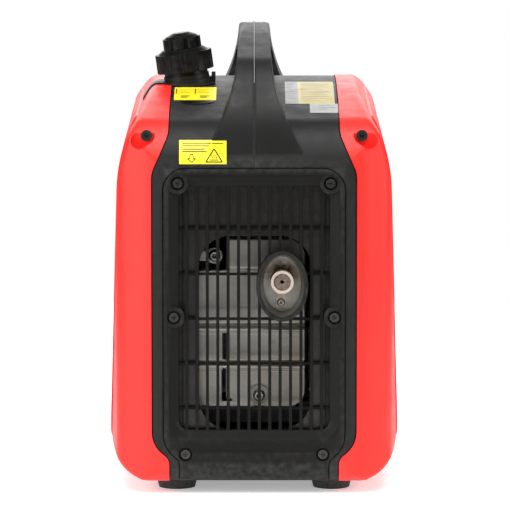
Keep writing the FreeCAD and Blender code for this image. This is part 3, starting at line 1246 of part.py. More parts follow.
def socket(x):
    """One earthed socket: flange, body with a round well and two pin holes, and the lid's ears."""
    half = SOCKET_SIZE / 2
    flange = prism("XZ", plate(x - half, x + half, SOCKET_Z - half, SOCKET_Z + half, 8), PANEL_Y, PANEL_Y + 4)
    body = prism("XZ", plate(x - half + 4, x + half - 4, SOCKET_Z - half + 4, SOCKET_Z + half - 4, 8),
                 PANEL_Y - 34, PANEL_Y + 1)
    parts = [flange, body]
    for side in (-1, 1):
        ex = x + side * 23
        parts.append(box(ex - 2, ex + 2, PANEL_Y, LID_AXIS_Y + 3, SOCKET_Z + half - 2, LID_AXIS_Z + 3))
    unit = fuse(parts)
    unit = unit.cut(rod_y(x, SOCKET_Z, SOCKET_WELL_R, PANEL_Y + 4 - SOCKET_WELL, LENGTH))
    for side in (-1, 1):
        unit = unit.cut(rod_y(x + side * 9.5, SOCKET_Z, 2.5, PANEL_Y - 28, LENGTH))
    return unit.cut(rod((x - 40, LID_AXIS_Y, LID_AXIS_Z), (1, 0, 0), 1.5 + RUN, 80))


def ac_sockets():
    return Part.makeCompound([socket(-SOCKET_X), socket(SOCKET_X)])


def socket_lid(x):
    """Hinged lid: a plate with a barrel and two short pins."""
    half = SOCKET_SIZE / 2 - 1
    y0 = PANEL_Y + 4 + LID_GAP
    lid = prism("XZ", plate(x - half, x + half, SOCKET_Z - half - 1, LID_AXIS_Z - 1, 7), y0, y0 + LID_T)
    for side in (-1, 1):
        ex = x + side * 23
        lid = lid.cut(box(ex - 2 - FIT, ex + 2 + FIT, 0, LENGTH, SOCKET_Z + half - 5, HEIGHT))
    lid = lid.fuse([rod((x - 20.5, LID_AXIS_Y, LID_AXIS_Z), (1, 0, 0), 2.6, 41),
                    rod((x - 24.5, LID_AXIS_Y, LID_AXIS_Z), (1, 0, 0), 1.5, 49)])
    return largest(lid)


def dc_usb_module():
    """Moulded block with a two-pin DC socket and two USB sockets."""
    x, z, w, h = MODULE
    flange = prism("XZ", plate(x - w / 2, x + w / 2, z - h / 2, z + h / 2, 5), PANEL_Y, PANEL_Y + 3)
    body = box(x - w / 2 + 4, x + w / 2 - 4, PANEL_Y - 20, PANEL_Y + 1, z - h / 2 + 4, z + h / 2 - 4)
    block = fuse([flange, body])
    for dx in (-18, -9):
        block = block.cut(box(x + dx - 1.5, x + dx + 1.5, PANEL_Y - 12, LENGTH, z - 5, z + 5))
    for dz in (-6, 6):
        port = box(x + 5, x + 18, PANEL_Y - 10, LENGTH, z + dz - 2.6, z + dz + 2.6)
        tongue = box(x + 6, x + 17, PANEL_Y - 10, PANEL_Y + 1, z + dz, z + dz + 1.2)
        block = block.cut(port.cut(tongue))
    return largest(block)


def engine_dial():
    """Run switch: a disc with a grip bar across it, on a spindle."""
    y0 = PANEL_Y + 0.5
    disc = rod_y(DIAL_X, DIAL_Z, DIAL_R, y0, y0 + 5)
    bar = box(DIAL_X - 5, DIAL_X + 5, y0, LENGTH / 2, DIAL_Z - DIAL_R + 1, DIAL_Z + DIAL_R - 1)
    bar = rounded(bar, 2, lambda e: e.BoundBox.YMin > LENGTH / 2 - 0.1)
    return fuse([disc, bar, rod_y(DIAL_X, DIAL_Z, 4, PANEL_Y - 10, y0 + 1)])


def eco_rocker():
    """Rocker switch: a drum on two pins, hollowed to a shallow V in front."""
    axis_y = PANEL_Y - 5
    drum = rod((DIAL_X - 7, axis_y, ROCKER_Z), (1, 0, 0), ROCKER_R, 14)
    drum = drum.cut(box(DIAL_X - 8, DIAL_X + 8, 0, axis_y - 3, 0, LENGTH))
    notch = prism("YZ", [(axis_y + 7, ROCKER_Z, 0), (axis_y + 30, ROCKER_Z - 16, 0),
                         (axis_y + 30, ROCKER_Z + 34, 0)], DIAL_X - 8, DIAL_X + 8)
    return fuse([drum.cut(notch), rod((DIAL_X - 10.5, axis_y, ROCKER_Z), (1, 0, 0), 1.5, 21)])


def breaker_button():
    """Push button of the DC circuit breaker."""
    button = rod_y(BUTTON_X, ROCKER_Z, BUTTON_R, PANEL_Y - 12, PANEL_Y + 5)
    return rounded(button, 1.2, lambda e: e.BoundBox.YMin > PANEL_Y + 4.9)


def indicator_lamps():
    """Three lamp lenses."""
    lamps = []
    for x, z in LAMPS:
        lens = rod_y(x, z, 4, PANEL_Y, PANEL_Y + 2)
        lens = rounded(lens, 1.2, lambda e: e.BoundBox.YMin > PANEL_Y + 1.9)
        lamps.append(lens.fuse(rod_y(x, z, 3, PANEL_Y - 8, PANEL_Y + 0.5)))
    return Part.makeCompound(lamps)


def ground_terminal():
    """Earth stud with its washer and wing nut."""
    stud = rod_y(0, STUD_Z, STUD_R, PANEL_Y + 9, PANEL_Y + 12.5).fuse(
        rod_y(0, STUD_Z, STUD_R - 0.1, PANEL_Y - 8, PANEL_Y + 9))
    washer = rod_y(0, STUD_Z, 7, PANEL_Y, PANEL_Y + 1.5)
    nut = rod_y(0, STUD_Z, 5, PANEL_Y + 1.5, PANEL_Y + 7)
    wings = box(-11, 11, PANEL_Y + 3, PANEL_Y + 9, STUD_Z - 1.2, STUD_Z + 1.2)
    return fuse([stud, washer, nut, wings])


def main():
    right, left = frame_shells()
    pieces = {
        "base_tray": base_tray(), "frame_shell_right": right, "frame_shell_left": left,
        "side_cover_right": side_cover_right(), "side_cover_left": side_cover_left(),
        "maintenance_door": maintenance_door(), "door_latch_knob": door_latch_knob(),
        "cover_screws": cover_screws(), "rubber_feet": rubber_feet(), "rear_grille": rear_grille(),
        "rear_grille_screws": rear_grille_screws(), "rear_baffle": rear_baffle(),
        "exhaust_dish": exhaust_dish(), "muffler": muffler(), "muffler_shield": muffler_shield(),
        "spark_arrester": spark_arrester(), "exhaust_screws": exhaust_screws(),
        "fuel_tank": fuel_tank(), "filler_drip_tray": filler_drip_tray(), "fuel_cap_core": fuel_cap_core(),
        "fuel_cap": fuel_cap(), "fuel_vent_knob": fuel_vent_knob(), "labels": labels(),
        "crankcase": crankcase(), "oil_filler_cap": oil_filler_cap(), "cylinder_head": cylinder_head(),
        "rocker_cover": rocker_cover(), "spark_plug": spark_plug(), "ignition_lead": ignition_lead(),
        "ignition_coil": ignition_coil(), "crank_throw": crank_throw(), "crankshaft": crankshaft(),
        "main_bearings": main_bearings(), "piston": piston(), "connecting_rod": connecting_rod(),
        "alternator_rotor": alternator_rotor(), "alternator_stator": alternator_stator(),
        "cooling_fan": cooling_fan(), "fan_shroud": fan_shroud(), "recoil_housing": recoil_housing(),
        "recoil_pulley": recoil_pulley(), "starter_rope": starter_rope(), "rope_guide": rope_guide(),
        "recoil_grip": recoil_grip(), "engine_mounts": engine_mounts(), "carburettor": carburettor(),
        "fuel_hose": fuel_hose(), "air_cleaner_case": air_cleaner_case(), "air_filter": air_filter(),
        "inverter_unit": inverter_unit(), "control_panel": control_panel(), "ac_sockets": ac_sockets(),
        "socket_lid_left": socket_lid(-SOCKET_X), "socket_lid_right": socket_lid(SOCKET_X),
        "dc_usb_module": dc_usb_module(), "engine_dial": engine_dial(), "eco_rocker": eco_rocker(),
        "breaker_button": breaker_button(), "indicator_lamps": indicator_lamps(),
        "ground_terminal": ground_terminal(),
    }
    os.makedirs("parts", exist_ok=True)
    for name, shape in pieces.items():
        shape.exportStep(f"parts/{name}.step")
        print(name, len(shape.Solids), "solids, valid", shape.isValid())


main()
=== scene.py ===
"""Looks of the portable generator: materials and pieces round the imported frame, floor, light, camera."""
import json
import math

import bmesh
import bpy
import numpy as np
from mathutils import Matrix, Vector
from mathutils.bvhtree import BVHTree


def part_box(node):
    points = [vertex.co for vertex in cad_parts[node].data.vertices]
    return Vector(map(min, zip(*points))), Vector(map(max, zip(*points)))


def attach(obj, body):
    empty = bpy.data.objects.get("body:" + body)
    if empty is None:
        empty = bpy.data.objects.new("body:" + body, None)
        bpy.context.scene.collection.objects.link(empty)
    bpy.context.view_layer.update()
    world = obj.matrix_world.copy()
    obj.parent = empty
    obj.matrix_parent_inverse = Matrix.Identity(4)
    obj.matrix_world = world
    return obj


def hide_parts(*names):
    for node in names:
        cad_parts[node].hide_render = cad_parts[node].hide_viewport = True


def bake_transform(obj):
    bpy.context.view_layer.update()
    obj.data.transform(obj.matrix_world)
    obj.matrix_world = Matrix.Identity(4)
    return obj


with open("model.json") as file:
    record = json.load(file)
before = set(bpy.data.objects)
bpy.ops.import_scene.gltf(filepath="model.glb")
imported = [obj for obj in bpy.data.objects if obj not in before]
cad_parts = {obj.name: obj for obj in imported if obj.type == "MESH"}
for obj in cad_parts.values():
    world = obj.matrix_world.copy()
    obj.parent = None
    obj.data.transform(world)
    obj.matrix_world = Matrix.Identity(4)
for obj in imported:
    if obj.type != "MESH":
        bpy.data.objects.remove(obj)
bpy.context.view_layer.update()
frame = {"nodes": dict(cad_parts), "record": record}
NODES = frame["nodes"]
MM = 0.001

# Places and sizes in millimetres that more than one function uses.
DATA_TAG_Y = -148.0           # the data label's white tag lies behind this line
DATA_STRIP_X = 44.0           # and its grey strip inside this one
BOLT_R = 6.0                  # head of each of the shield's bolts
TAB_HEAD_R = 3.9              # head of the clamp tab's screw
LOWER_BOLT_X = 4.7            # the shield's lower bolt, off the centre line
SHIELD_FACE = 2.0             # the sheet's flat face, behind the front of its CAD box
RAY_START = 600               # rays start this far out, beyond every surface


# ---------------------------------------------------------------- materials
def principled(tree):
    """The tree's Principled shader."""
    return next(n for n in tree.nodes if n.type == "BSDF_PRINCIPLED")


def new_material(name):
    """An empty node material with its tree and its Principled shader."""
    material = bpy.data.materials.new(name)
    material.use_nodes = True
    return material, material.node_tree, principled(material.node_tree)


def node(tree, kind, values=(), links=(), **settings):
    """Adds a node, sets its plain settings and its inputs' values, and links other sockets into it."""
    made = tree.nodes.new("ShaderNode" + kind)
    for key, value in settings.items():
        setattr(made, key, value)
    for key, value in dict(values).items():
        made.inputs[key].default_value = value
    for key, socket in dict(links).items():
        tree.links.new(socket, made.inputs[key])
    return made


def place_socket(tree, stretch=(1, 1, 1)):
    """Object coordinates, in metres, stretched along the axes."""
    where = node(tree, "TexCoord")
    return node(tree, "Mapping", {"Scale": stretch}, {"Vector": where.outputs["Object"]}).outputs["Vector"]


def noise(tree, scale, detail=4.0, stretch=(1, 1, 1), rough=0.5):
    """A noise texture fixed to the object, from 0 to 1."""
    return node(tree, "TexNoise", {"Scale": scale, "Detail": detail, "Roughness": rough},
                {"Vector": place_socket(tree, stretch)}).outputs["Fac"]


def spread(tree, socket, low, high, start=0.35, end=0.65):
    """Maps a 0 to 1 texture's middle range to low..high."""
    return node(tree, "MapRange", {"From Min": start, "From Max": end, "To Min": low, "To Max": high},
                {"Value": socket}).outputs["Result"]


def multiply(tree, first, second):
    """The product of two sockets."""
    return node(tree, "Math", links={0: first, 1: second}, operation="MULTIPLY").outputs[0]


def compare(tree, socket, edge, operation):
    """1 where a socket's value is on the asked side of an edge, 0 elsewhere."""
    return node(tree, "Math", {1: edge}, {0: socket}, operation=operation).outputs[0]


def mix(tree, factor, first, second):
    """Mixes two colours, each a tuple or a socket."""
    made = node(tree, "Mix", links={"Factor": factor}, data_type="RGBA")
    for place, value in ((6, first), (7, second)):
        if isinstance(value, tuple):
            made.inputs[place].default_value = value
        else:
            tree.links.new(value, made.inputs[place])
    return made.outputs[2]


def rgba(colour, gain=1.0):
    """An opaque colour, made lighter or darker by a gain."""
    return tuple(min(1.0, c * gain) for c in colour) + (1.0,)


def edges(tree, low=0.52, high=0.62):
    """1 on convex edges, 0 elsewhere, broken up by noise."""
    sharp = node(tree, "NewGeometry").outputs["Pointiness"]
    mask = spread(tree, sharp, 0.0, 1.0, low, high)
    chips = spread(tree, noise(tree, 160, 6.0), 0.2, 1.0)
    return multiply(tree, mask, chips)


def relief(tree, shader, layers, bevel=0.0):
    """Stacks bump layers of (texture socket, distance in metres) on an optional rounded edge."""
    normal = None
    if bevel:
        normal = node(tree, "Bevel", {"Radius": bevel}, samples=4).outputs["Normal"]
    for height, distance in layers:
        bump = node(tree, "Bump", {"Strength": 1.0, "Distance": distance}, {"Height": height})
        if normal:
            tree.links.new(normal, bump.inputs["Normal"])
        normal = bump.outputs["Normal"]
    tree.links.new(normal, shader.inputs["Normal"])


def plastic(name, colour, rough=0.45, grain=2600, depth=0.00006, wear=1.6, bevel=0.0006, coat=0.0, gloss=0.5):
    """Moulded plastic: a fine erosion grain, faint flow marks in colour and gloss, polished edges."""
    material, tree, shader = new_material(name)
    shader.inputs["Specular IOR Level"].default_value = gloss
    cloud = spread(tree, noise(tree, 22, 5.0), 0.0, 1.0)
    base = mix(tree, cloud, rgba(colour, 0.92), rgba(colour, 1.08))
    base = mix(tree, edges(tree), base, rgba([c + 0.01 for c in colour], wear))
    tree.links.new(base, shader.inputs["Base Color"])
    tree.links.new(spread(tree, noise(tree, 60, 6.0), rough - 0.05, rough + 0.05), shader.inputs["Roughness"])
    pits = node(tree, "TexVoronoi", {"Scale": grain}, {"Vector": place_socket(tree)}, feature="SMOOTH_F1")
    waves = noise(tree, 90, 2.0)
    relief(tree, shader, [(waves, 0.00012), (pits.outputs["Distance"], depth)], bevel)
    shader.inputs["Coat Weight"].default_value = coat
    shader.inputs["Coat Roughness"].default_value = 0.12
    return material


def metal(name, colour, rough=0.35, stretch=(1, 1, 1), scratch=900, cast=0.0, tint=None, bevel=0.0004):
    """Bare metal: drawn or cast surface, stains in colour and gloss, and bright edges."""
    material, tree, shader = new_material(name)
    shader.inputs["Metallic"].default_value = 1.0
    stain = spread(tree, noise(tree, 28, 7.0, rough=0.65), 0.0, 1.0)
    base = mix(tree, stain, rgba(colour, 0.72), rgba(colour, 1.05))
    if tint:
        patch = spread(tree, noise(tree, 14, 5.0), 0.0, 1.0, 0.45, 0.7)
        base = mix(tree, patch, base, rgba(tint))
    base = mix(tree, edges(tree), base, rgba(colour, 1.35))
    tree.links.new(base, shader.inputs["Base Color"])
    lines = noise(tree, scratch, 3.0, stretch)
    tree.links.new(spread(tree, lines, rough - 0.1, rough + 0.14), shader.inputs["Roughness"])
    layers = [(lines, 0.00003)]
    if cast:
        layers.append((noise(tree, 700, 6.0), cast))
    relief(tree, shader, layers, bevel)
    return material


def rubber(name, colour, rough=0.7):
    """Matt rubber with a dusty bloom."""
    material, tree, shader = new_material(name)
    dust = spread(tree, noise(tree, 80, 8.0, rough=0.7), 0.0, 0.5)
    base = mix(tree, dust, rgba(colour), rgba([c * 2 + 0.02 for c in colour]))
    tree.links.new(base, shader.inputs["Base Color"])
    tree.links.new(spread(tree, noise(tree, 300), rough - 0.1, rough + 0.1), shader.inputs["Roughness"])
    relief(tree, shader, [(noise(tree, 1500, 4.0), 0.00008)], 0.0006)
    return material


def radius_socket(tree, centre):
    """Distance from a line along Y through centre, (x, z) in metres."""
    where = node(tree, "SeparateXYZ", links={0: place_socket(tree)})
    sides = [node(tree, "Math", {1: c}, {0: where.outputs[axis]}, operation="SUBTRACT").outputs[0]
             for axis, c in zip("XZ", centre)]
    flat = node(tree, "CombineXYZ", links={"X": sides[0], "Y": sides[1]})
    return node(tree, "VectorMath", links={0: flat.outputs[0]}, operation="LENGTH").outputs["Value"]


def heated(name, colour, stain, centre, reach, front, rough=0.4):
    """Sheet steel, dark at its front edge, with brown heat stains that fade away from a pipe's axis."""
    material = metal(name, colour, rough, scratch=500)
    tree = material.node_tree
    shader = principled(tree)
    clean = shader.inputs["Base Color"].links[0].from_socket
    fade = {"From Min": reach[0], "From Max": reach[1], "To Min": 1.0, "To Max": 0.0}
    ring = node(tree, "MapRange", fade, {"Value": radius_socket(tree, centre)},
                interpolation_type="SMOOTHSTEP").outputs["Result"]
    where = node(tree, "SeparateXYZ", links={0: place_socket(tree)})
    rising = {"From Min": centre[1] - 0.012, "From Max": centre[1] + 0.012}
    upper = node(tree, "MapRange", rising, {"Value": where.outputs["Z"]}).outputs["Result"]
    cloud = spread(tree, noise(tree, 120, 6.0, rough=0.65), 0.25, 1.2)
    mask = multiply(tree, multiply(tree, ring, upper), cloud)
    paint = mix(tree, mask, clean, rgba(stain))
    lip = {"From Min": front + 0.001, "From Max": front + 0.004, "To Min": 0.9, "To Max": 0.0}
    mouth = node(tree, "MapRange", lip, {"Value": where.outputs["Y"]}).outputs["Result"]
    tree.links.new(mix(tree, mouth, paint, rgba([c * 0.08 for c in colour])), shader.inputs["Base Color"])
    return material


def arrester_steel(name, centre, rim):
    """Scaled cream rim of the spark arrester, brown and sooty inside."""
    material, tree, shader = new_material(name)
    shader.inputs["Metallic"].default_value = 0.2
    inside = node(tree, "MapRange", {"From Min": rim - 0.0030, "From Max": rim - 0.0024},
                  {"Value": radius_socket(tree, centre)}).outputs["Result"]
    speckle = spread(tree, noise(tree, 900, 6.0, rough=0.7), 0.0, 1.0)
    sooty = mix(tree, speckle, (0.06, 0.035, 0.026, 1), (0.42, 0.31, 0.25, 1))
    scale = mix(tree, speckle, (0.33, 0.27, 0.22, 1), (0.52, 0.45, 0.39, 1))
    tree.links.new(mix(tree, inside, sooty, scale), shader.inputs["Base Color"])
    tree.links.new(spread(tree, noise(tree, 400), 0.4, 0.7), shader.inputs["Roughness"])
    relief(tree, shader, [(noise(tree, 1500, 5.0), 0.00006)], 0.0003)
    return material


def necked(name, colour, dark, height):
    """The tank's pale plastic, dark on the neck above a height in metres."""
    material = plastic(name, colour, 0.4, gloss=0.15)
    tree = material.node_tree
    shader = principled(tree)
    paint = shader.inputs["Base Color"].links[0].from_socket
    level = node(tree, "SeparateXYZ", links={0: place_socket(tree)}).outputs["Z"]
    above = compare(tree, level, height, "GREATER_THAN")
    tree.links.new(mix(tree, above, paint, rgba(dark)), shader.inputs["Base Color"])
    return material


def film(name, colour, dull, white):
    """Printed film: bright yellow, dulled on the data label at +X, with that label's pale strip and tag."""
    material = plastic(name, colour, 0.4, depth=0.00001, wear=1.0, bevel=0.0)
    tree = material.node_tree
    shader = principled(tree)
    where = node(tree, "SeparateXYZ", links={0: place_socket(tree)})
    paint = shader.inputs["Base Color"].links[0].from_socket
    right = compare(tree, where.outputs["X"], 0.0, "GREATER_THAN")
    tag = multiply(tree, compare(tree, where.outputs["Y"], DATA_TAG_Y * MM, "LESS_THAN"), right)
    strip = multiply(tree, compare(tree, where.outputs["X"], DATA_STRIP_X * MM, "LESS_THAN"), right)
    for mask, tone in ((right, dull), (tag, white), (strip, [c * 0.7 for c in white])):
        paint = mix(tree, mask, paint, rgba(tone))
    tree.links.new(paint, shader.inputs["Base Color"])
    return material


ARRESTER_LOW, ARRESTER_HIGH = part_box("spark_arrester")
RIM_R = (ARRESTER_HIGH.x - ARRESTER_LOW.x) / 2
PIPE = ((ARRESTER_HIGH.x + ARRESTER_LOW.x) / 2, ARRESTER_HIGH.z - RIM_R)

BLACK = (0.008, 0.008, 0.0076)
RED = (0.74, 0.015, 0.010)
MATERIALS = {
    "black_plastic": plastic("moulded black", BLACK, 0.42, gloss=0.15),
    "black_gloss": plastic("smooth black", (0.0025, 0.0025, 0.0022), 0.32,
                           depth=0.00002, wear=1.0, gloss=0.07),
    "red_plastic": plastic("moulded red", RED, 0.4, grain=3200, depth=0.00002, wear=1.1, gloss=0.25),
    "grey_plastic": plastic("moulded grey", (0.13, 0.13, 0.13), 0.5, gloss=0.3),
    "rubber": rubber("rubber", (0.010, 0.010, 0.010)),
    "steel": metal("pressed steel", (0.40, 0.39, 0.355), 0.40, (1, 1, 12), tint=(0.22, 0.18, 0.14)),
    "dark_steel": metal("blackened steel", (0.045, 0.043, 0.040), 0.4),
    "plated_steel": metal("zinc plate", (0.42, 0.42, 0.39), 0.28),
    "cast_aluminium": metal("cast aluminium", (0.45, 0.45, 0.46), 0.5, cast=0.00015),
    "copper_windings": metal("varnished copper", (0.50, 0.16, 0.05), 0.3, (1, 30, 1)),
    "label": film("yellow film", (0.78, 0.62, 0.01), (0.34, 0.27, 0.07), (0.24, 0.24, 0.23)),
    "foam": rubber("filter foam", (0.05, 0.05, 0.055), 0.9),
    "rope": rubber("rope cord", (0.6, 0.58, 0.52), 0.8),
    "white_plastic": plastic("tank plastic", (0.62, 0.60, 0.52), 0.4),
    "lamp_lens": plastic("lens red", (0.5, 0.02, 0.01), 0.15, depth=0.00001, coat=0.5),
    "ceramic_white": plastic("glazed white", (0.75, 0.74, 0.70), 0.15, depth=0.0, coat=0.4),
}
SOFT_BLACK = plastic("frame black", (0.0055, 0.0055, 0.0052), 0.5, gloss=0.20, bevel=0.0022)
GRILLE_BLACK = plastic("grille black", (0.0055, 0.0055, 0.0050), 0.5, gloss=0.08, bevel=0.0008)
PRINT_BLACK = plastic("black print", (0.015, 0.015, 0.012), 0.5, depth=0.0, bevel=0.0, gloss=0.2)
PRINT_WHITE = plastic("white print", (0.6, 0.6, 0.58), 0.5, depth=0.0, bevel=0.0, gloss=0.2)
NODE_MATERIALS = {
    "frame_shell_left": SOFT_BLACK,
    "frame_shell_right": SOFT_BLACK,
    "rear_grille": GRILLE_BLACK,
    "exhaust_dish": heated("dish steel", (0.30, 0.29, 0.265), (0.060, 0.022, 0.007), PIPE, (0.013, 0.029),
                           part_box("exhaust_dish")[0].y),
    # The muffler's steel is near black as painted shade, so that it looks black behind the shield's slots and
    # window.
    "muffler": metal("painted-shade steel", (0.045, 0.043, 0.040), 0.55),
    "fuel_tank": necked("tank plastic", (0.62, 0.60, 0.52), (0.003, 0.003, 0.003),
                        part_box("filler_drip_tray")[0].z),
    "spark_arrester": arrester_steel("arrester steel", PIPE, RIM_R),
}


def dress(piece, material):
    """Gives a piece one material and no other."""
    piece.data.materials.clear()
    piece.data.materials.append(material)


def dress_frame():
    """Gives every CAD node its own material where it has one, and else the material of its slot."""
    for part in frame["record"]["subparts"]:
        dress(NODES[part["node"]], NODE_MATERIALS.get(part["node"], MATERIALS[part["material_slot"]]))


# ---------------------------------------------------------------- pieces
def mesh_piece(name, points, faces, material, slot, body="housing"):
    """A smooth mesh from points in millimetres, with its material and the body it moves with; its slot is not
    used.
    """
    mesh = bpy.data.meshes.new(name)
    mesh.from_pydata([[c * MM for c in p] for p in points], [], faces)
    mesh.polygons.foreach_set("use_smooth", [True] * len(mesh.polygons))
    piece = bpy.data.objects.new(name, mesh)
    bpy.context.scene.collection.objects.link(piece)
    dress(piece, material)
    if body:
        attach(piece, body)
    return piece


def grid_faces(rows, columns, start=0, closed=False):
    """Quads over a grid of points kept row by row, its last column joined to its first where it is closed."""
    faces = []
    for i in range(rows - 1):
        for j in range(columns if closed else columns - 1):
            k = (j + 1) % columns
            faces.append([start + i * columns + j, start + i * columns + k,
                          start + (i + 1) * columns + k, start + (i + 1) * columns + j])
    return faces


def tube(path, radius, sides=8, lobes=0, twist=0.0):
    """Points and faces of a capped tube along a path, its section lobed and twisted where asked."""
    points = []
    for i, middle in enumerate(path):
        middle = Vector(middle)
        along = (Vector(path[min(i + 1, len(path) - 1)]) - Vector(path[max(i - 1, 0)])).normalized()
        side = along.cross(Vector((0, 1, 0)) if abs(along.y) < 0.9 else Vector((1, 0, 0))).normalized()
        up = side.cross(along)
        for j in range(sides):
            a = 2 * math.pi * j / sides
            r = radius * (1 - (0.14 * abs(math.sin(lobes / 2 * a + twist * i)) if lobes else 0))
            points.append(middle + (side * math.cos(a) + up * math.sin(a)) * r)
    faces = grid_faces(len(path), sides, closed=True)
    faces.append(list(range(sides)))
    faces.append([len(points) - 1 - j for j in range(sides)])
    return points, faces


def joined(parts):
    """Points and faces of several meshes as one."""
    points, faces = [], []
    for more, quads in parts:
        start = len(points)
        points.extend(more)
        faces.extend([[start + k for k in quad] for quad in quads])
    return points, faces


def surface(name):
    """Ray target made from a CAD node, in millimetres."""
    mesh = NODES[name].data
    corners = [v.co / MM for v in mesh.vertices]
    return BVHTree.FromPolygons(corners, [tuple(p.vertices) for p in mesh.polygons])


def bar(a, b, width):
    """Corners of a straight bar from a to b, in a flat drawing."""
    a, b = Vector(a), Vector(b)
    across = (b - a).normalized().orthogonal() * width / 2
    return [a - across, b - across, b + across, a + across]


def rows_of_bars(x0, x1, y0, pitch, lengths, width):
    """Short bars in rows, which stand for lines of print."""
    return [bar((x0, y0 - i * pitch), (x0 + (x1 - x0) * share, y0 - i * pitch), width)
            for i, share in enumerate(lengths)]


def laid(tree, down, corners, lift, step):
    """Points and faces of a flat shape laid on a surface, or None where it runs off the surface."""
    a, b, c, d = (Vector(p) for p in corners)
    columns = max(2, int((b - a).length / step) + 2)
    rows = max(2, int((d - a).length / step) + 2)
    points = []
    for i in range(rows):
        v = i / (rows - 1)
        for j in range(columns):
            u = j / (columns - 1)
            flat = a.lerp(b, u).lerp(d.lerp(c, u), v)
            start = Vector((flat.x, flat.y, 0)) if down.z else Vector((flat.x, 0, flat.y))
            hit = tree.ray_cast(start - down * RAY_START, down)[0]
            if hit is None:
                return None
            points.append(hit - down * lift)
    return points, grid_faces(rows, columns)


def print_on(name, target, down, shapes, material, slot, lift=0.08, step=1.6):
    """Flat shapes laid on a node's surface: drawn in X and Y where down is -Z, and else in X and Z."""
    tree = surface(target)
    parts = [laid(tree, Vector(down), corners, lift, step) for corners in shapes]
    return mesh_piece(name, *joined([part for part in parts if part]), material, slot)


SHIELD_PITCH = 1.0            # grid of the sheet's points
SHIELD_T = 1.2                # its thickness
SHIELD_R = 20.0               # its outline's corners
SHIELD_TURN = 7.5             # how far its outer edge turns back
SLOTS = ((-31.0, -27.5, 129.0, 156.0), (-31.5, -28.0, 88.0, 121.0), (-31.5, -22.5, 88.0, 91.0))
STEPS = (163.0, 126.0)        # heights of the pressed steps
STEP_DEPTH = 4.5
BEADS = ((3.6, 1.6), (6.2, 1.5))        # how far below each step a bead lies, and how far it stands out
BEAD_W = 0.8
WINDOW = (-62.0, -26.5, 218.0, 270.0)   # cut-out round the upper bolt, which an arm carries
ARM = (-64.0, -40.0, 228.0, 238.0)
SEAT_R = 8.0                  # round seat of the upper bolt, at the arm's end
SEAT_BEAD_R = 9.5             # bead round the lower bolt


def rounded_box(x, z, x0, x1, z0, z1, r):
    """Signed distance to a rounded rectangle, below 0 inside."""
    dx = abs(x - (x0 + x1) / 2) - (x1 - x0) / 2 + r
    dz = abs(z - (z0 + z1) / 2) - (z1 - z0) / 2 + r
    return math.hypot(max(dx, 0), max(dz, 0)) + min(max(dx, dz), 0) - r


def ease(value, low, high):
    """A smooth step from 0 at low to 1 at high."""
    t = min(max((value - low) / (high - low), 0.0), 1.0)
    return t * t * (3 - 2 * t)


def ridge(distance, width, power=2):
    """1 on a line, falling away smoothly on both sides of it."""
    return math.exp(-(distance / width) ** power)


def bolt_places(heads):
    """Where the shield's upper and lower bolts stand, (x, z), from the box round all the screws."""
    return [(heads[0].x + BOLT_R, heads[1].z - BOLT_R), (LOWER_BOLT_X, heads[0].z + BOLT_R)]


def shield():
    """Stamped muffler shield: pressed steps and beads, slots, bolt seats, a recess and turned edges."""
    low, high = (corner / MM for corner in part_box("muffler_shield"))
    pipe_x, pipe_z = (c / MM for c in PIPE)
    heads = [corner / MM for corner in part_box("exhaust_screws")]
    upper, lower = bolt_places(heads)
    face = low.y + SHIELD_FACE
    hole = RIM_R / MM + 8.5

    def cut(x, z):
        """Below 0 where there is sheet."""
        edge = rounded_box(x, z, low.x + 0.5, high.x - 0.5, low.z + 0.5, high.z - 0.5, SHIELD_R)
        holes = [hole - math.hypot(x - pipe_x, z - pipe_z)]
        holes += [-rounded_box(x, z, *slot, 1.4) for slot in SLOTS]
        window = -rounded_box(x, z, *WINDOW, 3)
        arm = rounded_box(x, z, *ARM, 2)
        seat = math.hypot(x - upper[0], z - upper[1]) - SEAT_R
        holes.append(min(window, arm, seat))
        return max([edge] + holes)

    def height(x, z):
        """How far the sheet stands towards -Y."""
        edge = -rounded_box(x, z, low.x, high.x, low.z, high.z, SHIELD_R)
        rise = -SHIELD_TURN * (1 - ease(edge, 0.4, 4.0))
        for step in STEPS:
            rise -= STEP_DEPTH * ridge(z - step, 1.9, 4)
            for drop, stand in BEADS:
                rise += stand * ridge(z - step + drop, BEAD_W)
        rise -= 2.4 * ridge(z - WINDOW[2], 1.5) * ease(x, WINDOW[1], WINDOW[1] + 3)
        rise += 0.9 * ridge(math.hypot(x - lower[0], z - lower[1]) - SEAT_BEAD_R, 0.9)
        ring = math.hypot(x - pipe_x, z - pipe_z)
        rise += 1.6 * ridge(ring - hole - 2.5, 1.6)
        rise += 0.5 * math.sin(x * 0.05) * math.sin(z * 0.04)
        return min(rise, 1.9)

    columns = int((high.x - low.x) / SHIELD_PITCH) + 1
    rows = int((high.z - low.z) / SHIELD_PITCH) + 1
    flat = []
    for i in range(rows):
        for j in range(columns):
            x, z = low.x + j * SHIELD_PITCH, low.z + i * SHIELD_PITCH
            gap = cut(x, z)
            if abs(gap) < SHIELD_PITCH * 0.6:
                slope = Vector((cut(x + 0.1, z) - cut(x - 0.1, z), cut(x, z + 0.1) - cut(x, z - 0.1))) / 0.2
                x -= gap * slope.x
                z -= gap * slope.y
            flat.append((x, z))
    faces = []
    for quad in grid_faces(rows, columns):
        middle = [sum(flat[k][axis] for k in quad) / 4 for axis in (0, 1)]
        if cut(*middle) < 0:
            faces.append(quad)
    points = [(x, face - height(x, z), z) for x, z in flat]
    piece = mesh_piece("shield_sheet", points, faces, MATERIALS["steel"], "steel")
    work = bmesh.new()
    work.from_mesh(piece.data)
    bmesh.ops.delete(work, geom=[v for v in work.verts if not v.link_faces], context="VERTS")
    work.to_mesh(piece.data)
    work.free()
    thick = piece.modifiers.new("thickness", "SOLIDIFY")
    thick.thickness = SHIELD_T * MM
    thick.offset = -1
    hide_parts("muffler_shield")


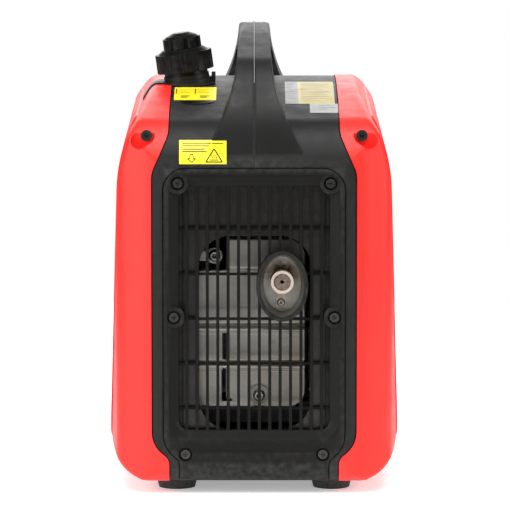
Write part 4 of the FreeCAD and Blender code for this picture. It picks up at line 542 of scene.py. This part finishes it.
def turned(profile, x, z, sides=36):
    """Points and faces of a profile of (radius, y) turned about a line along Y."""
    points = []
    for r, y in profile:
        for j in range(sides):
            a = 2 * math.pi * j / sides
            points.append((x + r * math.cos(a), y, z + r * math.sin(a)))
    faces = grid_faces(len(profile), sides, closed=True)
    faces.append(list(range(sides)))
    return points, faces


# Half section of a domed head, from its socket's floor outwards: share of its radius, and depth.
HEAD_PROFILE = ((0.34, 1.9), (0.36, 0.5), (0.42, 0.25), (0.62, 0.1), (0.74, 0.35), (0.78, 1.0), (0.80, 2.3))
FLANGE = (2.5, 3.0)           # depths of the head's flange
HEAD_STAND = 4.2              # the shield's bolt heads stand this far out of its face


def bolts():
    """The shield's two flanged bolts and the clamp tab's screw: domed heads with a socket."""
    heads = [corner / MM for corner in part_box("exhaust_screws")]
    shield_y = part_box("muffler_shield")[0].y / MM + SHIELD_FACE
    upper, lower = bolt_places(heads)
    tab_x = heads[1].x - TAB_HEAD_R
    tab_y = heads[0].y
    tab_z = ARRESTER_LOW.z / MM + 5.0
    parts = []
    for (x, z), y, r, length in ((upper, shield_y - HEAD_STAND, BOLT_R, 13.0),
                                 (lower, shield_y - HEAD_STAND, BOLT_R, 13.0),
                                 ((tab_x, tab_z), tab_y, TAB_HEAD_R, 6.0)):
        profile = [(r * share, y + depth) for share, depth in HEAD_PROFILE]
        profile += [(r, y + FLANGE[0]), (r, y + FLANGE[1]), (r * 0.4, y + 3.05), (r * 0.4, y + length)]
        parts.append(turned(profile, x, z))
    piece = mesh_piece("exhaust_bolts", *joined(parts), MATERIALS["plated_steel"], "plated_steel")
    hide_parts("exhaust_screws")


def gauze():
    """Woven wire over the spark arrester's disc, clear of the hole in its middle."""
    pitch, wire, clear = 1.15, 0.24, 2.2
    sway, spacing = 0.25, 0.4
    x, z = (c / MM for c in PIPE)
    reach = RIM_R / MM - 3.0
    y = ARRESTER_LOW.y / MM + 1.5
    parts = []
    lines = int(reach / pitch)
    for i in range(-lines, lines + 1):
        off = i * pitch
        half = math.sqrt(reach ** 2 - off ** 2)
        hole = math.sqrt(max(clear ** 2 - off ** 2, 0))
        for start, end in (((-half, -hole), (hole, half)) if hole else ((-half, half),)):
            count = max(3, int((end - start) / spacing))
            for across in (True, False):
                path = []
                for k in range(count):
                    t = start + (end - start) * k / (count - 1)
                    wave = sway * math.cos(math.pi * (t / pitch + i + across))
                    path.append((x + t, y + wave, z + off) if across else (x + off, y + wave, z + t))
                parts.append(tube(path, wire, 5))
    mesh_piece("arrester_gauze", *joined(parts), NODE_MATERIALS["spark_arrester"], "steel")


def rope():
    """Braided starter rope: a turn on the reel, then straight through the guide into the grip."""
    low, high = (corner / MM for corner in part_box("starter_rope"))
    radius = (high.y - low.y) / 2
    y = (low.y + high.y) / 2
    wind = -low.x - radius
    middle = (low.z + high.z) / 2
    turn, points = 1.9 * math.pi, 90
    path = [(wind * math.sin(a), y, middle + wind * math.cos(a)) for a in np.linspace(-turn, 0, points)]
    path += [(x, y, middle + wind) for x in np.linspace(1.5, high.x, points)]
    piece = mesh_piece("braided_rope", *tube(path, radius, 16, 8, 0.35), MATERIALS["rope"], "rope", body=None)
    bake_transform(piece)
    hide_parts("starter_rope")


def shade_crescent():
    """Crescent of darker, duller black on the deck below the fuel label: painted shade at the label's near
    edge, raised a little in its middle.
    """
    x0, x1, front, back = -76.0, -38.0, -133.0, -153.0
    tree = surface("frame_shell_left")
    rows, columns = 13, 31
    lift, crown = 0.05, 1.1
    points = []
    for i in range(rows):
        v = i / (rows - 1)
        for j in range(columns):
            u = 2 * j / (columns - 1) - 1
            x = (x0 + x1) / 2 + u * (x1 - x0) / 2
            y = front + (back - front) * v * math.sqrt(max(1 - u * u, 0.0))
            hit = tree.ray_cast(Vector((x, y, RAY_START)), Vector((0, 0, -1)))[0]
            rise = crown * (1 - abs(2 * v - 1) ** 3) * (1 - abs(u) ** 5)
            points.append(hit + Vector((0, 0, lift + rise)))
    mesh_piece("deck_shade_crescent", points, grid_faces(rows, columns), MATERIALS["black_gloss"], "black_plastic")


DOWN = (0, 0, -1)
FORWARD = (0, 1, 0)
BACKWARD = (0, -1, 0)


def deck_print():
    """Generic marks on the fuel and data labels: lines of print as bars, and two ruled halves."""
    marks = [bar((-78, -74), (-78, -102), 1.1), bar((-59, -74), (-59, -102), 1.1)]
    for x0, x1 in ((-76, -61), (-57, -41)):
        marks += rows_of_bars(x0, x1, -80, 7.5, (1, 0.55, 0.8), 1.1)
        marks += rows_of_bars(x0 + 3, x1, -113, 6.0, (0.7, 0.5), 3.4)
    print_on("fuel_label_print", "labels", DOWN, marks, PRINT_BLACK, "black_plastic")
    marks = rows_of_bars(47, 78, -34, 9.0, (0.5, 1, 0.8, 0.9, 1, 0.7, 0.95, 1, 0.85, 0.9, 1, 0.6), 1.3)
    marks += rows_of_bars(33, 42, -36, 11.0, (1, 0.7, 0.9, 1, 0.6, 0.9, 1, 0.8, 1), 1.6)
    marks += rows_of_bars(64, 80, -156, 7.0, (0.7, 1, 0.5), 1.2)
    print_on("data_label_print", "labels", DOWN, marks, MATERIALS["grey_plastic"], "grey_plastic")


def heat_print():
    """The heat label: bars, an outlined arrow pointing down and a triangle with three waves."""
    marks = rows_of_bars(-70, -30, 347, 2.5, (1, 0.72), 0.9)
    marks += rows_of_bars(-70, -46, 341.5, 2.4, (0.9, 1), 1.0)
    arrow = [(-62.5, 336.5), (-62.5, 332.5), (-65, 332.5), (-61, 329),
             (-57, 332.5), (-59.5, 332.5), (-59.5, 336.5)]
    marks += [bar(a, b, 0.8) for a, b in zip(arrow, arrow[1:] + arrow[:1])]
    corners = [(-47, 329.3), (-31, 329.3), (-39, 342)]
    marks += [bar(a, b, 1.2) for a, b in zip(corners, corners[1:] + corners[:1])]
    marks += [bar((-43, 331.2), (-35, 331.2), 1.0)]
    for x in (-41, -39, -37):
        wave = [(x + 0.5 * math.sin(k * 1.6), 332.6 + k * 0.9) for k in range(5)]
        marks += [bar(a, b, 0.7) for a, b in zip(wave, wave[1:])]
    print_on("heat_label_print", "labels", FORWARD, marks, PRINT_BLACK, "black_plastic", step=3.0)


def panel_print():
    """Ticks round the engine dial and ruled lines by the sockets on the control panel."""
    low, high = (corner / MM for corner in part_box("engine_dial"))
    x, z, r = (low.x + high.x) / 2, (low.z + high.z) / 2, (high.x - low.x) / 2 + 2
    marks = []
    for turn in range(-120, 121, 30):
        a = math.radians(turn)
        long = 4.5 if turn % 60 == 0 else 2.5
        marks.append(bar((x + r * math.sin(a), z + r * math.cos(a)),
                         (x + (r + long) * math.sin(a), z + (r + long) * math.cos(a)), 0.8))
    low, high = (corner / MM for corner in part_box("ac_sockets"))
    for side in (-1, 1):
        marks.append(bar((side * 14, low.z - 6), (side * (high.x - 4), low.z - 6), 0.8))
    print_on("panel_print", "control_panel", BACKWARD, marks, PRINT_WHITE, "grey_plastic")


# ---------------------------------------------------------------- stage
FLOOR_REACH = 1.1             # metres from its middle to each side
SKY_LIGHT = 0.28              # the sky's strength as a light, beside 1 as seen by the camera
LIGHTS = (                    # name, place, what it points at, size in metres, power in watts
    ("left", (-1.7, -1.3, 0.9), (-0.1, -0.1, 0.22), (1.2, 1.6), 48),
    ("right", (1.9, -0.8, 0.9), (0.1, -0.1, 0.22), (0.9, 1.6), 30),
    ("top", (0, -0.9, 2.1), (0, -0.2, 0.3), (1.8, 2.0), 66),
    ("back", (0, 2.0, 0.9), (0, 0, 0.22), (1.6, 1.2), 14),
)


def stage():
    """A wide pale floor under the object."""
    mesh = bpy.data.meshes.new("floor")
    corners = [(x * FLOOR_REACH, y * FLOOR_REACH, 0) for x, y in ((-1, -1), (1, -1), (1, 1), (-1, 1))]
    mesh.from_pydata(corners, [], [(0, 1, 2, 3)])
    floor = bpy.data.objects.new("floor", mesh)
    bpy.context.scene.collection.objects.link(floor)
    material, tree, shader = new_material("floor")
    paint = mix(tree, noise(tree, 3), rgba((0.90,) * 3), rgba((0.94,) * 3))
    tree.links.new(paint, shader.inputs["Base Color"])
    shader.inputs["Emission Color"].default_value = (1, 1, 1, 1)
    shader.inputs["Emission Strength"].default_value = 0.35
    shader.inputs["Roughness"].default_value = 0.6
    dress(floor, material)


def area_light(name, place, aim, size, power):
    """A rectangular softbox pointed at a place."""
    light = bpy.data.lights.new(name, "AREA")
    light.shape = "RECTANGLE"
    light.size, light.size_y = size
    light.energy = power
    lamp = bpy.data.objects.new(name, light)
    lamp.location = place
    lamp.rotation_euler = (Vector(aim) - Vector(place)).to_track_quat("-Z", "Y").to_euler()
    bpy.context.scene.collection.objects.link(lamp)


def lighting():
    """Softboxes all round and above, and a sky that is white to look at and weaker as a light."""
    for row in LIGHTS:
        area_light(*row)
    world = bpy.data.worlds.new("studio")
    bpy.context.scene.world = world
    world.use_nodes = True
    tree = world.node_tree
    sky = tree.nodes["Background"]
    sky.inputs["Color"].default_value = (1, 1, 1, 1)
    seen = node(tree, "LightPath").outputs["Is Camera Ray"]
    strength = node(tree, "MapRange", {"To Min": SKY_LIGHT, "To Max": 1.0}, {"Value": seen})
    tree.links.new(strength.outputs["Result"], sky.inputs["Strength"])
    bpy.context.scene.view_settings.view_transform = "Standard"


PITCH = math.radians(7.5)     # the camera looks down by this much
DISTANCE = 4.5                # from the rear face
AIM = Vector((0.0008, -0.244, 0.2383))
SENSOR_MM = 36.0
LENS_MM = 325.8


def camera():
    """The camera of the photograph: far off with a long lens, a little above the object."""
    lens = bpy.data.cameras.new("camera")
    lens.sensor_width = SENSOR_MM
    lens.lens = LENS_MM
    lens.clip_end = 50
    eye = bpy.data.objects.new("camera", lens)
    eye.location = AIM + Vector((0, -math.cos(PITCH), math.sin(PITCH))) * DISTANCE
    eye.rotation_euler = (math.pi / 2 - PITCH, 0, 0)
    bpy.context.scene.collection.objects.link(eye)
    bpy.context.scene.camera = eye


def main():
    """Dresses the frame, makes the pieces round it, and sets the stage."""
    dress_frame()
    shield()
    bolts()
    gauze()
    rope()
    shade_crescent()
    deck_print()
    heat_print()
    panel_print()
    stage()
    lighting()
    camera()


main()
